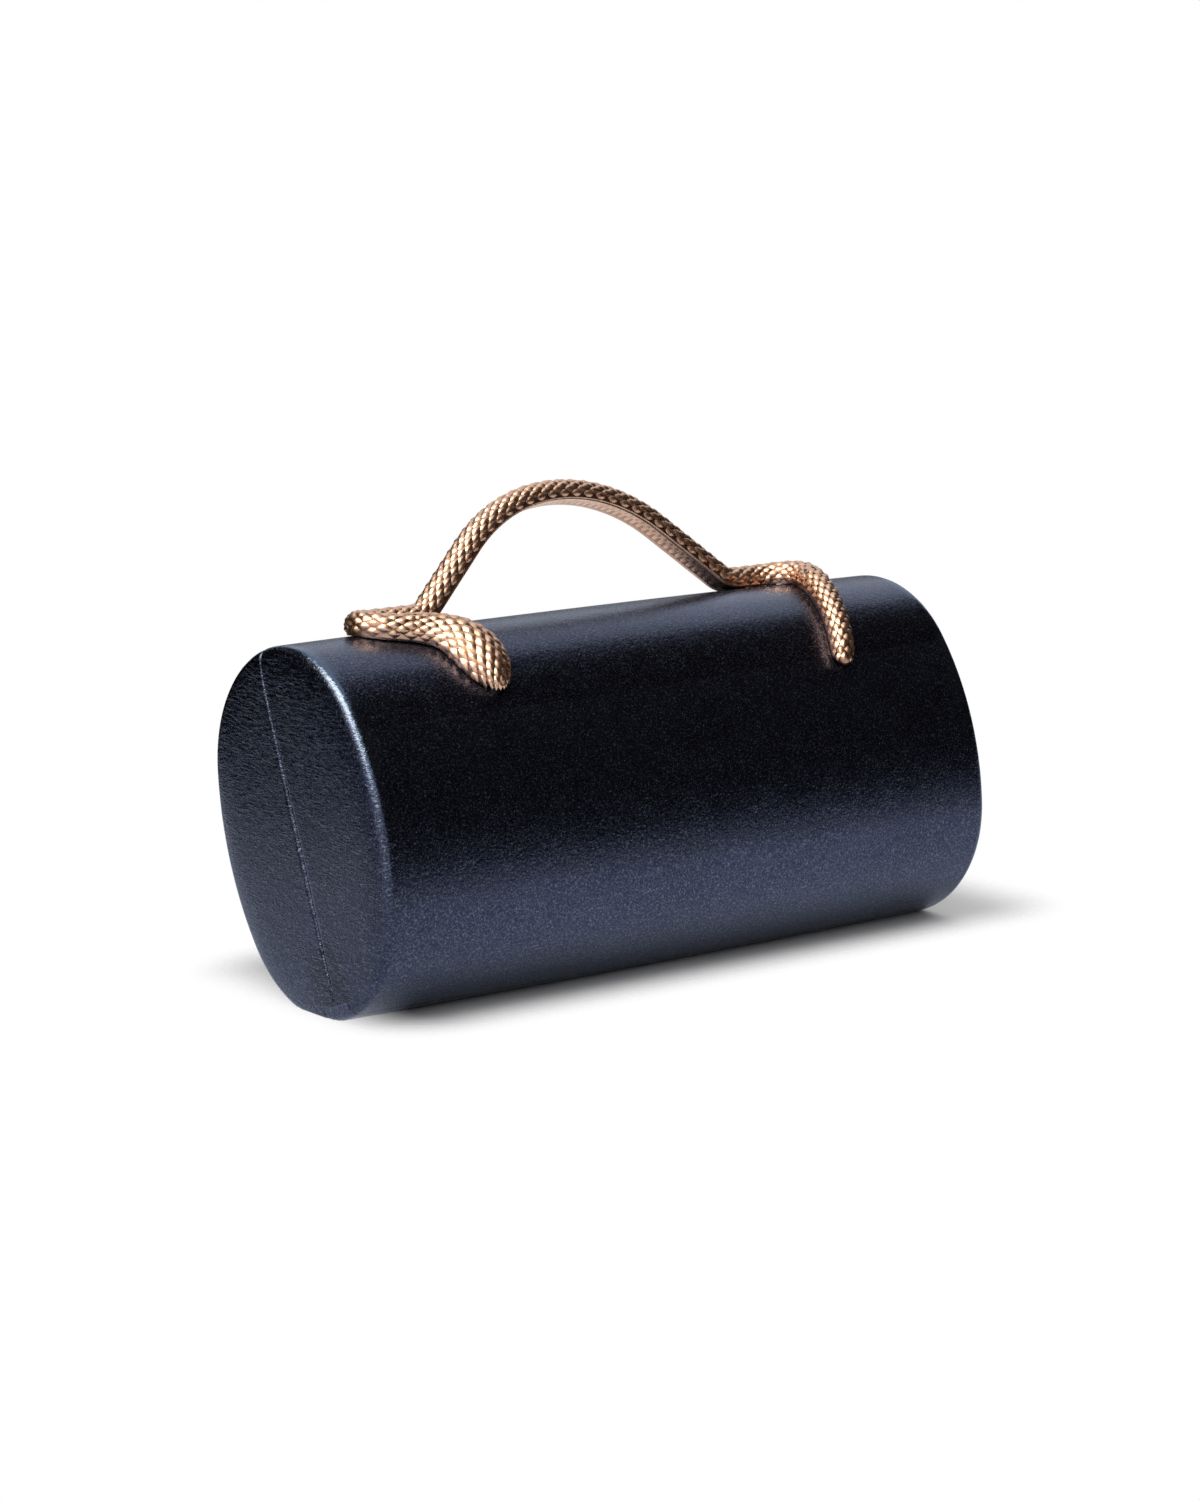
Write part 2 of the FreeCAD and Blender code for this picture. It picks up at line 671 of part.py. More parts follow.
def snake_stations():
    """Rings from snout to tail tip: centre, normal, half width and half thickness."""
    body_wide = size("body_width").value / 2
    body_thick = size("body_thickness").value / 2
    head_wide = size("head_width").value / 2
    head_thick = size("head_thickness").value / 2
    tip_share = size("tail_tip_width").value / size("body_width").value
    taper = size("tail_taper").value
    point = size("tail_point").value
    head, tail = Run(LEFT, head_moves), Run(RIGHT, tail_moves)
    head_end = head.length - size("head_length").value
    rings = []

    def add(along, half_wide, half_thick):
        run = head if along < 0 else tail
        rings.append((*run.place(abs(along), half_thick), half_wide, half_thick))

    for far, wide_share, thick_share in HEAD_FORM:
        add(far * size("head_length").value - head.length, head_wide * wide_share,
            head_thick * thick_share)
    for along in even_steps(size("neck_taper").value - head_end, tail.length - taper, BODY_STEPS):
        add(along, body_wide, body_thick)
    for along in even_steps(tail.length - taper, tail.length - point, TAIL_STEPS)[1:]:
        share = tip_share + (1 - tip_share) * (tail.length - along - point) / (taper - point)
        add(along, body_wide * share, body_thick * share)
    for far, share in reversed(TAIL_FORM):
        add(tail.length - far * point, body_wide * tip_share * share, body_thick * tip_share * share)
    return rings


def snake_section(wide, thick):
    """Wire across the snake: flat belly, straight flanks and a domed back."""
    flank = thick * (FLANK * 2 - 1)
    low_left, low_right = FreeCAD.Vector(-wide, -thick, 0), FreeCAD.Vector(wide, -thick, 0)
    left, right = FreeCAD.Vector(-wide, flank, 0), FreeCAD.Vector(wide, flank, 0)
    back = Part.Arc(right, FreeCAD.Vector(0, thick, 0), left).toShape()
    return Part.Wire([Part.makeLine(low_left, low_right), Part.makeLine(low_right, right),
                      back, Part.makeLine(left, low_left)])


def snake_form():
    """Loft through rings that stand square to the centre line."""
    rings = snake_stations()
    wires = []
    for number, (centre, normal, wide, thick) in enumerate(rings):
        before = rings[max(number - 1, 0)][0]
        after = rings[min(number + 1, len(rings) - 1)][0]
        along = (after - before).normalize()
        across = normal.cross(along).normalize()
        up = along.cross(across)
        turn = FreeCAD.Matrix(across.x, up.x, along.x, centre.x, across.y, up.y, along.y, centre.y,
                              across.z, up.z, along.z, centre.z, 0, 0, 0, 1)
        wire = snake_section(wide, thick)
        wire.Placement = FreeCAD.Placement(turn)
        wires.append(wire)
    return Part.makeLoft(wires, True, True)


def add_snake_handle():
    """Cast snake that lies on the barrel at both ends, drilled for its screws."""
    form = doc.addObject("Part::Feature", "snake_form")
    form.Shape = snake_form()
    finish("snake_handle", cut("snake_handle", form, *screw_holes))


def add_handle_plate(side):
    name = f"handle_plate_{END_NAMES[side]}"
    middle = plate_middle * side
    reach = size("plate_length") / 2
    wide = size("plate_width") / 2
    plate = box(f"{name}_blank", middle - reach, middle + reach, -wide, wide, plate_bottom, plate_top)
    holes = [peg(f"{name}_hole_{number}", hole_radius, place * side, NOTHING, NOTHING, tip_radius)
             for number, place in enumerate(SCREWS, start=1)]
    finish(name, cut(name, plate, *holes), angle=fixing_angle, pivot=tip_rise)


def add_handle_screws():
    screws = []
    for side in (LEFT, RIGHT):
        for number, place in enumerate(SCREWS, start=1):
            name = f"{END_NAMES[side]}_screw_{number}"
            shank = peg(f"{name}_shank", size("screw_radius"), place * side, NOTHING,
                        plate_bottom, tip_radius + size("screw_bite"))
            head = peg(f"{name}_head", size("screw_head_radius"), place * side, NOTHING,
                       plate_bottom - size("screw_head"), plate_bottom)
            screws.append(fuse(name, shank, head))
    finish("handle_screws", group("handle_screws", screws), angle=fixing_angle, pivot=tip_rise)


for half in (BACK, FRONT):
    add_leather(half)
    for side in (LEFT, RIGHT):
        add_end_panel(half, side)
    add_core(half)
    add_lining(half)
    add_hinge_leaf(half)
    add_hinge_rivets(half)
    add_magnets(half)
add_hinge_pin()
add_spine_strip()
add_snake_handle()
for side in (LEFT, RIGHT):
    add_handle_plate(side)
add_handle_screws()
doc.recompute()

for item in doc.Objects:
    if "Invalid" in item.State or "Error" in item.State:
        raise RuntimeError(f"{item.Label} failed: {item.State}")
os.makedirs("parts", exist_ok=True)
for node in nodes:
    if node.Shape.isNull() or not node.Shape.isValid() or not node.Shape.Solids:
        raise RuntimeError(f"{node.Label} has no valid solid")
for node in nodes:
    node.Shape.exportStep(f"parts/{node.Label}.step")
    print(node.Label, len(node.Shape.Solids), round(node.Shape.Volume, 1))
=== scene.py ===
"""Looks of a hard-shell barrel bag with a cast snake for a handle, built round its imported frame."""

import logging
import math
from dataclasses import dataclass, field
from enum import Enum

import bmesh
import bpy
import numpy as np
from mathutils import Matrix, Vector


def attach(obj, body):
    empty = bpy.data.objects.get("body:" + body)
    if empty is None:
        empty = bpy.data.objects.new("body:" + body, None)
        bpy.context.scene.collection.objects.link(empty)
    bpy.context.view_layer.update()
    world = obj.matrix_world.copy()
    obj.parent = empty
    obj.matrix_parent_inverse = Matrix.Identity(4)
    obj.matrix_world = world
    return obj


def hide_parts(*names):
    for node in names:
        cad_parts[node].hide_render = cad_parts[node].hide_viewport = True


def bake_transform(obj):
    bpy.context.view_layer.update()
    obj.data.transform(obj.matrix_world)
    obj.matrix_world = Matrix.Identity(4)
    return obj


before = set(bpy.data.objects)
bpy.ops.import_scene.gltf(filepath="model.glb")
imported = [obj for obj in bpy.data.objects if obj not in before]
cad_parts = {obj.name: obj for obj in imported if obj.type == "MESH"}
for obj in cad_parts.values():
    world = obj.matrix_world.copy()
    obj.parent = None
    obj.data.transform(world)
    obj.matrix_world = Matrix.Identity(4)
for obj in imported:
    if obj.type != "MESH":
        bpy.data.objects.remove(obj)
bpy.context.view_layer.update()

log = logging.getLogger("barrel_bag")

Triple = tuple[float, float, float]
Colour = Triple
Span = tuple[float, float]
Material = bpy.types.Material
Moves = list[Span]
Piece = bpy.types.Object
Socket = bpy.types.NodeSocket
Sockets = bpy.types.bpy_prop_collection
Value = float | Colour | Socket
Inputs = dict[str | int, Value]

FLOAT, VECTOR, SHAPE = "NodeSocketFloat", "NodeSocketVector", "NodeSocketGeometry"
NOISE_RANGE = (0.3, 0.7)  # nearly all values of a noise lie between these


class Half(Enum):
    """The two halves of the bag, by the side of the parting plane on which each lies."""

    BACK = 1
    FRONT = -1

    @property
    def body(self) -> str:
        """Name of the moving body that the half belongs to."""
        return self.name.lower()


class Tile(Enum):
    """Outlines of the small raised plates that coat the snake, with the tilt of each."""

    DIAMOND = 0.55
    BAND = 0.25


# Node trees


class NodeBoard:
    """A node tree with short ways to add nodes and to join them."""

    def __init__(self, tree: bpy.types.NodeTree) -> None:
        """Wraps a shader or geometry tree."""
        self.tree = tree

    def feed(self, node: bpy.types.Node, values: Inputs) -> bpy.types.Node:
        """Sets inputs of a node.

        Args:
            node: The node.
            values: Inputs by name or number, each a constant or a socket to join.

        Returns:
            The node.
        """
        for name, value in values.items():
            if isinstance(value, Socket):
                self.tree.links.new(value, node.inputs[name])
            else:
                node.inputs[name].default_value = value
        return node

    def add(self, kind: str, values: Inputs | None = None, **settings) -> bpy.types.Node:
        """Adds a node.

        Args:
            kind: Type name of the node.
            values: Inputs by name or number, each a constant or a socket to join.
            settings: Properties of the node itself.

        Returns:
            The new node.
        """
        node = self.tree.nodes.new(kind)
        for name, setting in settings.items():
            setattr(node, name, setting)
        return self.feed(node, values or {})

    def out(self, kind: str, values: Inputs | None = None, **settings) -> Socket:
        """Adds a node and gives its first output."""
        return self.add(kind, values, **settings).outputs[0]

    def math(self, operation: str, *values: Value) -> Socket:
        """Adds a Math node on constants or sockets and gives its output."""
        return self.out("ShaderNodeMath", dict(enumerate(values)), operation=operation)

    def vector(self, operation: str, *values: Value) -> bpy.types.Node:
        """Adds a Vector Math node on constants or sockets."""
        return self.add("ShaderNodeVectorMath", dict(enumerate(values)), operation=operation)

    def mix(self, share: Value, first: Value, second: Value) -> Socket:
        """Mixes two colours, the first at a share of 0 and the second at a share of 1."""
        ends = [value if isinstance(value, Socket) else (*value, 1.0) for value in (first, second)]
        return self.add("ShaderNodeMix", {0: share, 6: ends[0], 7: ends[1]}, data_type="RGBA").outputs[2]

    def remap(self, value: Value, low: float, high: float, first: Value = 0.0, last: Value = 1.0,
              **settings) -> Socket:
        """Maps the range from low to high onto the one from first to last, clamped."""
        return self.out("ShaderNodeMapRange", dict(enumerate((value, low, high, first, last))), **settings)

    def noise(self, vector: Socket, scale: Value, detail: float, **more: float) -> Socket:
        """Adds a Noise Texture node and gives its value."""
        values = {"Vector": vector, "Scale": scale, "Detail": detail, **more}
        return self.out("ShaderNodeTexNoise", values)


def new_group(name: str, kind: str, inputs: dict[str, str], outputs: dict[str, str]
              ) -> tuple[NodeBoard, Sockets, bpy.types.Node]:
    """Makes a node group with named sockets.

    Args:
        name: Name of the group.
        kind: Type name of its tree.
        inputs: Socket type of each input, by name.
        outputs: Socket type of each output, by name.

    Returns:
        The group's board, the sockets that give its inputs, and its output node.
    """
    board = NodeBoard(bpy.data.node_groups.new(name, kind))
    for way, sockets in (("INPUT", inputs), ("OUTPUT", outputs)):
        for socket, socket_type in sockets.items():
            board.tree.interface.new_socket(name=socket, in_out=way, socket_type=socket_type)
    return board, board.add("NodeGroupInput").outputs, board.add("NodeGroupOutput")


def variation_group() -> bpy.types.NodeTree:
    """Makes the shared group for slow changes of tone and gloss over a surface.

    Returns:
        The group, with a Value that runs from Low to High.
    """
    board, start, end = new_group("variation", "ShaderNodeTree",
                                  {"Vector": VECTOR, "Scale": FLOAT, "Low": FLOAT, "High": FLOAT},
                                  {"Value": FLOAT})
    noise = board.noise(start["Vector"], start["Scale"], detail=4.0, Roughness=0.6)
    value = board.remap(noise, *NOISE_RANGE, start["Low"], start["High"])
    board.feed(end, {"Value": value})
    return board.tree


def grain_group() -> bpy.types.NodeTree:
    """Makes the shared group for a pebbled or pitted surface.

    Returns:
        The group, with a Height of the grain and a Flake mask of small bright specks.
    """
    board, start, end = new_group("grain", "ShaderNodeTree",
                                  {"Vector": VECTOR, "Pebbles": FLOAT, "Flakes": FLOAT, "Rarity": FLOAT},
                                  {"Height": FLOAT, "Flake": FLOAT})
    warp_scale, cell_depth, speck_height, speck_range = 420.0, 0.75, 0.3, (0.28, 0.74)
    warp = board.noise(start["Vector"], warp_scale, detail=3.0)
    cells = board.out("ShaderNodeTexVoronoi", {"Vector": start["Vector"], "Scale": start["Pebbles"],
                                               "Randomness": 1.0}, feature="SMOOTH_F1")
    specks = board.noise(start["Vector"], start["Flakes"], detail=2.0, Roughness=0.7)
    tone = board.remap(specks, *speck_range)
    pebbles = board.math("MULTIPLY_ADD", cells, -cell_depth, warp)
    height = board.math("MULTIPLY_ADD", tone, speck_height, pebbles)
    board.feed(end, {"Height": height, "Flake": board.math("POWER", tone, start["Rarity"])})
    return board.tree


GROUPS = {"variation": variation_group(), "grain": grain_group()}


class Dresser(NodeBoard):
    """A material under way: a board with the piece's own coordinates and the surface shader."""

    def __init__(self, name: str, metallic: float = 0.0, **constants: Value) -> None:
        """Starts a material.

        Args:
            name: Name of the material.
            metallic: How much of a metal the surface is.
            constants: Plain values of other inputs of the surface shader.
        """
        self.material = bpy.data.materials.new(name)
        self.material.use_nodes = True
        super().__init__(self.material.node_tree)
        self.surface = self.tree.nodes["Principled BSDF"]
        plain = {socket.replace("_", " "): value for socket, value in constants.items()}
        self.feed(self.surface, {"Metallic": metallic, **plain})
        self.place = self.add("ShaderNodeTexCoord").outputs["Object"]

    def group(self, name: str, **values: float) -> Sockets:
        """Places a shared group, fed with the piece's own coordinates, and gives its outputs."""
        return self.add("ShaderNodeGroup", {"Vector": self.place, **values}, node_tree=GROUPS[name]).outputs

    def vary(self, scale: float, low: float = 0.0, high: float = 1.0) -> Socket:
        """Gives a value that changes slowly over the surface, from low to high."""
        return self.group("variation", Scale=scale, Low=low, High=high)["Value"]

    def mark(self, name: str) -> Socket:
        """Gives the value of a mark on the piece's mesh."""
        return self.add("ShaderNodeAttribute", attribute_name=name).outputs["Fac"]

    def stretched(self, scale: Triple) -> Socket:
        """Gives coordinates that are stretched along the axes."""
        return self.out("ShaderNodeMapping", {"Vector": self.place, "Scale": scale})

    def finish(self, colour: Value, roughness: Value, height: Value, depth: float) -> Material:
        """Joins colour, gloss and relief to the surface.

        Args:
            colour: Base colour.
            roughness: Roughness.
            height: Relief from 0 to about 1.
            depth: Real depth of that relief in metres.

        Returns:
            The finished material.
        """
        bump = self.out("ShaderNodeBump", {"Height": height, "Distance": depth})
        self.feed(self.surface, {"Base Color": colour, "Roughness": roughness, "Normal": bump})
        return self.material


# Finishes


@dataclass(frozen=True)
class LeatherFinish:
    """Metallic navy leather: fine pebble grain, short creases with painted shade in their valleys, a dust of
    bright flakes, end faces painted lighter, and rubbed upper rims with a painted highlight.
    """

    name: str = "navy_leather"
    deep: Colour = (0.0122, 0.0178, 0.0440)
    pale: Colour = (0.0212, 0.0294, 0.0670)
    # painted shade for the valleys of the end faces' creases
    painted_fold_shade: Colour = (0.003, 0.004, 0.008)
    flake: Colour = (0.168, 0.192, 0.256)
    # painted highlight: a brighter colour for the rubbed upper rims, where the lamp's shine falls
    painted_rim_highlight: Colour = (0.076, 0.108, 0.170)
    sheen: tuple[float, float, float, float] = (0.84, 0.89, 1.0, 1.0)
    pebbles: float = 1150.0
    flakes: float = 1850.0
    creases: Triple = (420.0, 270.0, 1150.0)
    crease_width: float = 0.11
    crease_pull: Span = (1.6, 10.0)
    # painted light: how much paler the gathered end faces are made
    painted_end_light: float = 0.7
    flake_rough: float = 0.20
    rubbed_gloss: float = 0.09
    depth: float = 0.00006

    def build(self) -> Material:
        """Makes the material.

        Returns:
            The material.
        """
        dress = Dresser(self.name, metallic=0.96, Coat_Weight=0.15, Coat_Roughness=0.24,
                        Specular_Tint=self.sheen)
        grain = dress.group("grain", Pebbles=self.pebbles, Flakes=self.flakes, Rarity=3.0)
        creases_and_painted_light, rubbed = dress.mark("creases_and_painted_light"), dress.mark("rubbed")
        tone = dress.vary(scale=28.0, low=0.15, high=0.85)
        # painted light: the end faces are made paler, most beside the seam and at its foot
        tone = dress.math("MULTIPLY_ADD", creases_and_painted_light, self.painted_end_light, tone)
        gloss = dress.vary(scale=160.0, low=0.20, high=0.27)
        gloss = dress.math("MULTIPLY_ADD", grain["Flake"], self.flake_rough, gloss)
        gloss = dress.math("MULTIPLY_ADD", rubbed, -self.rubbed_gloss, gloss)
        crease = dress.noise(dress.stretched(self.creases), scale=1.0, detail=3.0, Distortion=0.8)
        ridges = dress.math("ABSOLUTE", dress.math("SUBTRACT", crease, 0.5))
        # painted shade: darker colour in the crease valleys of the end faces
        painted_crease_shade = dress.math("MULTIPLY", dress.remap(ridges, 0.0, self.crease_width, 1.0, 0.0), creases_and_painted_light)
        colour = dress.mix(tone, self.deep, self.pale)
        # crease valleys get painted shade; the rubbed upper rims get a painted highlight
        for share, tint in ((grain["Flake"], self.flake), (painted_crease_shade, self.painted_fold_shade), (rubbed, self.painted_rim_highlight)):
            colour = dress.mix(share, colour, tint)
        pull = dress.remap(creases_and_painted_light, 0.0, 1.0, *self.crease_pull)
        height = dress.math("MULTIPLY_ADD", ridges, pull, grain["Height"])
        return dress.finish(colour, gloss, height, self.depth)


@dataclass(frozen=True)
class SuedeFinish:
    """Soft napped cloth of the lining."""

    name: str = "lining_suede"
    deep: Colour = (0.030, 0.033, 0.055)
    pale: Colour = (0.062, 0.067, 0.100)
    nap: float = 2400.0
    nap_share: float = 0.3
    depth: float = 0.00012

    def build(self) -> Material:
        """Makes the material.

        Returns:
            The material.
        """
        dress = Dresser(self.name, Sheen_Weight=0.35, Sheen_Roughness=0.5)
        nap = dress.noise(dress.place, self.nap, detail=6.0)
        brushed = dress.math("MULTIPLY", dress.vary(scale=55.0), 1.0 - self.nap_share)
        colour = dress.mix(dress.math("MULTIPLY_ADD", nap, self.nap_share, brushed), self.deep, self.pale)
        return dress.finish(colour, dress.vary(scale=90.0, low=0.82, high=0.95), nap, self.depth)


@dataclass(frozen=True)
class CastGoldFinish:
    """Rose-gold plate, darker towards the foot of each scale and on the body between the scales, lighter on
    the crowns.
    """

    name: str = "rose_gold"
    bright: Colour = (0.70, 0.475, 0.350)
    warm: Colour = (0.56, 0.345, 0.250)
    dark: Colour = (0.38, 0.215, 0.155)
    dark_below: float = 0.34
    depth: float = 0.00003

    def build(self) -> Material:
        """Makes the material.

        Returns:
            The material.
        """
        dress = Dresser(self.name, metallic=1.0)
        metal = dress.mix(dress.vary(scale=300.0), self.bright, self.warm)
        # darker where the crown mark is low: at the scales' feet and on the body between them
        colour = dress.mix(dress.remap(dress.mark("crown"), 0.0, self.dark_below), self.dark, metal)
        pits = dress.group("grain", Pebbles=2600.0, Flakes=5200.0, Rarity=4.0)
        rough = dress.vary(scale=700.0, low=0.24, high=0.36)
        return dress.finish(colour, rough, pits["Height"], self.depth)


@dataclass(frozen=True)
class MetalFinish:
    """Plain metal, brushed along one axis."""

    name: str
    colour: Colour
    shade: Colour
    roughness: Span
    brushing: Triple = (30.0, 2400.0, 2400.0)
    depth: float = 0.00002

    def build(self) -> Material:
        """Makes the material.

        Returns:
            The material.
        """
        dress = Dresser(self.name, metallic=1.0)
        lines = dress.noise(dress.stretched(self.brushing), scale=1.0, detail=4.0)
        colour = dress.mix(dress.remap(lines, *NOISE_RANGE), self.shade, self.colour)
        rough = dress.vary(240.0, *self.roughness)
        return dress.finish(colour, rough, lines, self.depth)


@dataclass(frozen=True)
class MouldedFinish:
    """Moulded shell with a faint spark-eroded texture."""

    name: str = "moulded_shell"
    deep: Colour = (0.020, 0.021, 0.024)
    pale: Colour = (0.036, 0.037, 0.041)
    depth: float = 0.00004

    def build(self) -> Material:
        """Makes the material.

        Returns:
            The material.
        """
        dress = Dresser(self.name)
        texture = dress.group("grain", Pebbles=1800.0, Flakes=4200.0, Rarity=4.0)
        colour = dress.mix(dress.vary(scale=80.0), self.deep, self.pale)
        rough = dress.vary(scale=150.0, low=0.48, high=0.62)
        return dress.finish(colour, rough, texture["Height"], self.depth)


# Meshes


def add_object(name: str, data: bpy.types.ID) -> Piece:
    """Puts data into the scene as an object at the origin.

    Args:
        name: Name of the object.
        data: Its mesh, lamp or camera.

    Returns:
        The object.
    """
    made = bpy.data.objects.new(name, data)
    bpy.context.scene.collection.objects.link(made)
    return made


def mark_points(mesh: bpy.types.Mesh, name: str, values: np.ndarray) -> None:
    """Writes a number or a vector on each point of a mesh."""
    kind, entry = ("FLOAT", "value") if values.ndim == 1 else ("FLOAT_VECTOR", "vector")
    mesh.attributes.new(name, kind, "POINT").data.foreach_set(entry, values.astype(np.float32).ravel())


def closed_mesh(name: str, points: np.ndarray, faces: list, material: Material) -> Piece:
    """Makes an object at the origin from points and faces, merged, closed and facing outwards.

    Args:
        name: Name of the object.
        points: Corners in the row frame.
        faces: Corner numbers of each face.
        material: Its finish.

    Returns:
        The object.
    """
    nearest = 1e-7
    mesh = bpy.data.meshes.new(name)
    mesh.from_pydata(points.tolist(), [], faces)
    work = bmesh.new()
    work.from_mesh(mesh)
    bmesh.ops.remove_doubles(work, verts=work.verts, dist=nearest)
    bmesh.ops.dissolve_degenerate(work, dist=nearest, edges=work.edges)
    if work.calc_volume(signed=True) < 0:
        bmesh.ops.reverse_faces(work, faces=work.faces)
    for face in work.faces:
        face.smooth = True
    work.to_mesh(mesh)
    work.free()
    mesh.materials.append(material)
    return add_object(name, mesh)


def shell_faces(rows: int, columns: int) -> list:
    """Faces of a shell between two grids of points that are listed one after the other.

    Args:
        rows: Rows of each grid.
        columns: Columns of each grid.

    Returns:
        Corner numbers of the faces of both sides and of the rim between them.
    """
    spots = np.arange(rows * columns).reshape(rows, columns)
    side = np.stack([spots[:-1, :-1], spots[:-1, 1:], spots[1:, 1:], spots[1:, :-1]], -1).reshape(-1, 4)
    rim = np.concatenate([spots[0, :], spots[1:, -1], spots[-1, -2::-1], spots[-2::-1, 0]])
    band = np.stack([rim[1:], rim[:-1], rim[:-1] + spots.size, rim[1:] + spots.size], -1)
    return np.concatenate([side, side[:, ::-1] + spots.size, band]).tolist()


def eased(value: np.ndarray, first: float, last: float) -> np.ndarray:
    """Eases from 0 where the value is first to 1 where it is last."""
    share = np.clip((value - first) / (last - first), 0.0, 1.0)
    return share * share * (3.0 - 2.0 * share)


def value_noise(across: np.ndarray, along: np.ndarray, seed: int) -> np.ndarray:
    """Smooth noise over two coordinates.

    Args:
        across: First coordinate, in cells.
        along: Second coordinate, in cells.
        seed: Number that fixes the pattern.

    Returns:
        Values from -1 to 1.
    """
    size = 64
    table = np.random.default_rng(seed).uniform(-1.0, 1.0, (size, size))
    column, row = np.floor(across).astype(int), np.floor(along).astype(int)
    right, up = eased(across - column, 0.0, 1.0), eased(along - row, 0.0, 1.0)
    low, high = (table[column % size, (row + step) % size] * (1 - right)
                 + table[(column + 1) % size, (row + step) % size] * right for step in (0, 1))
    return low * (1 - up) + high * up


# Barrel


@dataclass(frozen=True)
class BarrelForm:
    """Oval barrel in its parting frame: x along it, h to the back, v up in the parting plane."""

    half_height: float = 0.0500
    half_width: float = 0.0382
    side_radius: float = 0.0820
    length: float = 0.2070
    lean: float = math.radians(21.3)
    base_depth: float = 0.0020
    seam: float = 0.00015

    @property
    def tip_radius(self) -> float:
        """Radius of the oval's top and bottom arcs."""
        span = 2 * self.side_radius * self.half_width - self.half_width ** 2 - self.half_height ** 2
        return span / (2 * (self.side_radius - self.half_height))

    @property
    def tip_rise(self) -> float:
        """Height of the upper arc's centre."""
        return self.half_height - self.tip_radius

    @property
    def side_offset(self) -> float:
        """Distance of a side arc's centre from the parting plane."""
        return self.side_radius - self.half_width

    @property
    def turn(self) -> float:
        """Angle from the top at which the tip arc meets the side arc."""
        return math.atan2(self.side_offset, self.tip_rise)

    @property
    def base(self) -> np.ndarray:
        """Middle of the section in the row frame."""
        return np.array([0.0, 0.0, self.tip_rise * math.cos(self.lean) + self.tip_radius - self.base_depth])

    @property
    def axes(self) -> np.ndarray:
        """Directions of x, h and v in the row frame."""
        sine, cosine = math.sin(self.lean), math.cos(self.lean)
        return np.array([[1.0, 0.0, 0.0], [0.0, cosine, -sine], [0.0, sine, cosine]])

    def to_row(self, points: np.ndarray) -> np.ndarray:
        """Turns points of the parting frame, in the last axis, into the row frame."""
        return np.asarray(points) @ self.axes + self.base

    def from_row(self, points: np.ndarray) -> np.ndarray:
        """Turns points of the row frame, in the last axis, into the parting frame."""
        return (points - self.base) @ self.axes.T

    def outline(self, angle: np.ndarray, inset: float) -> np.ndarray:
        """Points of the section whose outward normal leans by an angle from the top.

        Args:
            angle: Angles from the top, through the back side, to the bottom and on.
            inset: Depth under the outer surface.

        Returns:
            Their h and v in the last axis.
        """
        sine, cosine = np.sin(angle), np.cos(angle)
        middle = np.abs(cosine) < math.cos(self.turn)
        centre_h = np.where(middle, -np.sign(sine) * self.side_offset, 0.0)
        centre_v = np.where(middle, 0.0, np.sign(cosine) * self.tip_rise)
        radius = np.where(middle, self.side_radius, self.tip_radius) - inset
        return np.stack([centre_h + radius * sine, centre_v + radius * cosine], -1)

    def even_angles(self, first: float, last: float, count: int) -> np.ndarray:
        """Angles from the top that divide the back side's outline evenly.

        Args:
            first: First angle.
            last: Last angle.
            count: How many.

        Returns:
            The angles.
        """
        angles = [0.0, self.turn, math.pi - self.turn, math.pi]
        tip, side = self.tip_radius * self.turn, self.side_radius * (math.pi - 2 * self.turn)
        ways = np.cumsum([0.0, tip, side, tip])
        ends = np.interp([first, last], angles, ways)
        return np.interp(np.linspace(*ends, count), ways, angles)

    def under(self, h: np.ndarray, v: np.ndarray) -> np.ndarray:
        """Distance of points inside the section from its outline.

        Args:
            h: Places to the back.
            v: Heights.

        Returns:
            The distances.
        """
        side, tall = np.abs(h), np.abs(v) - self.tip_rise
        tip = np.arctan2(side, tall) < self.turn
        return np.where(tip, self.tip_radius - np.hypot(side, tall),
                        self.side_radius - np.hypot(side + self.side_offset, v))


@dataclass(frozen=True)
class ShellCut:
    """Where a half shell ends: its rim roundings and the slot along the bottom."""

    outer_inset: float
    inner_inset: float
    outer_rim: float
    inner_rim: float
    slot_half: float
    slot_top: float
    lip: float
    rows: int = 170
    wall: int = 52
    rim: int = 7
    face: int = 42


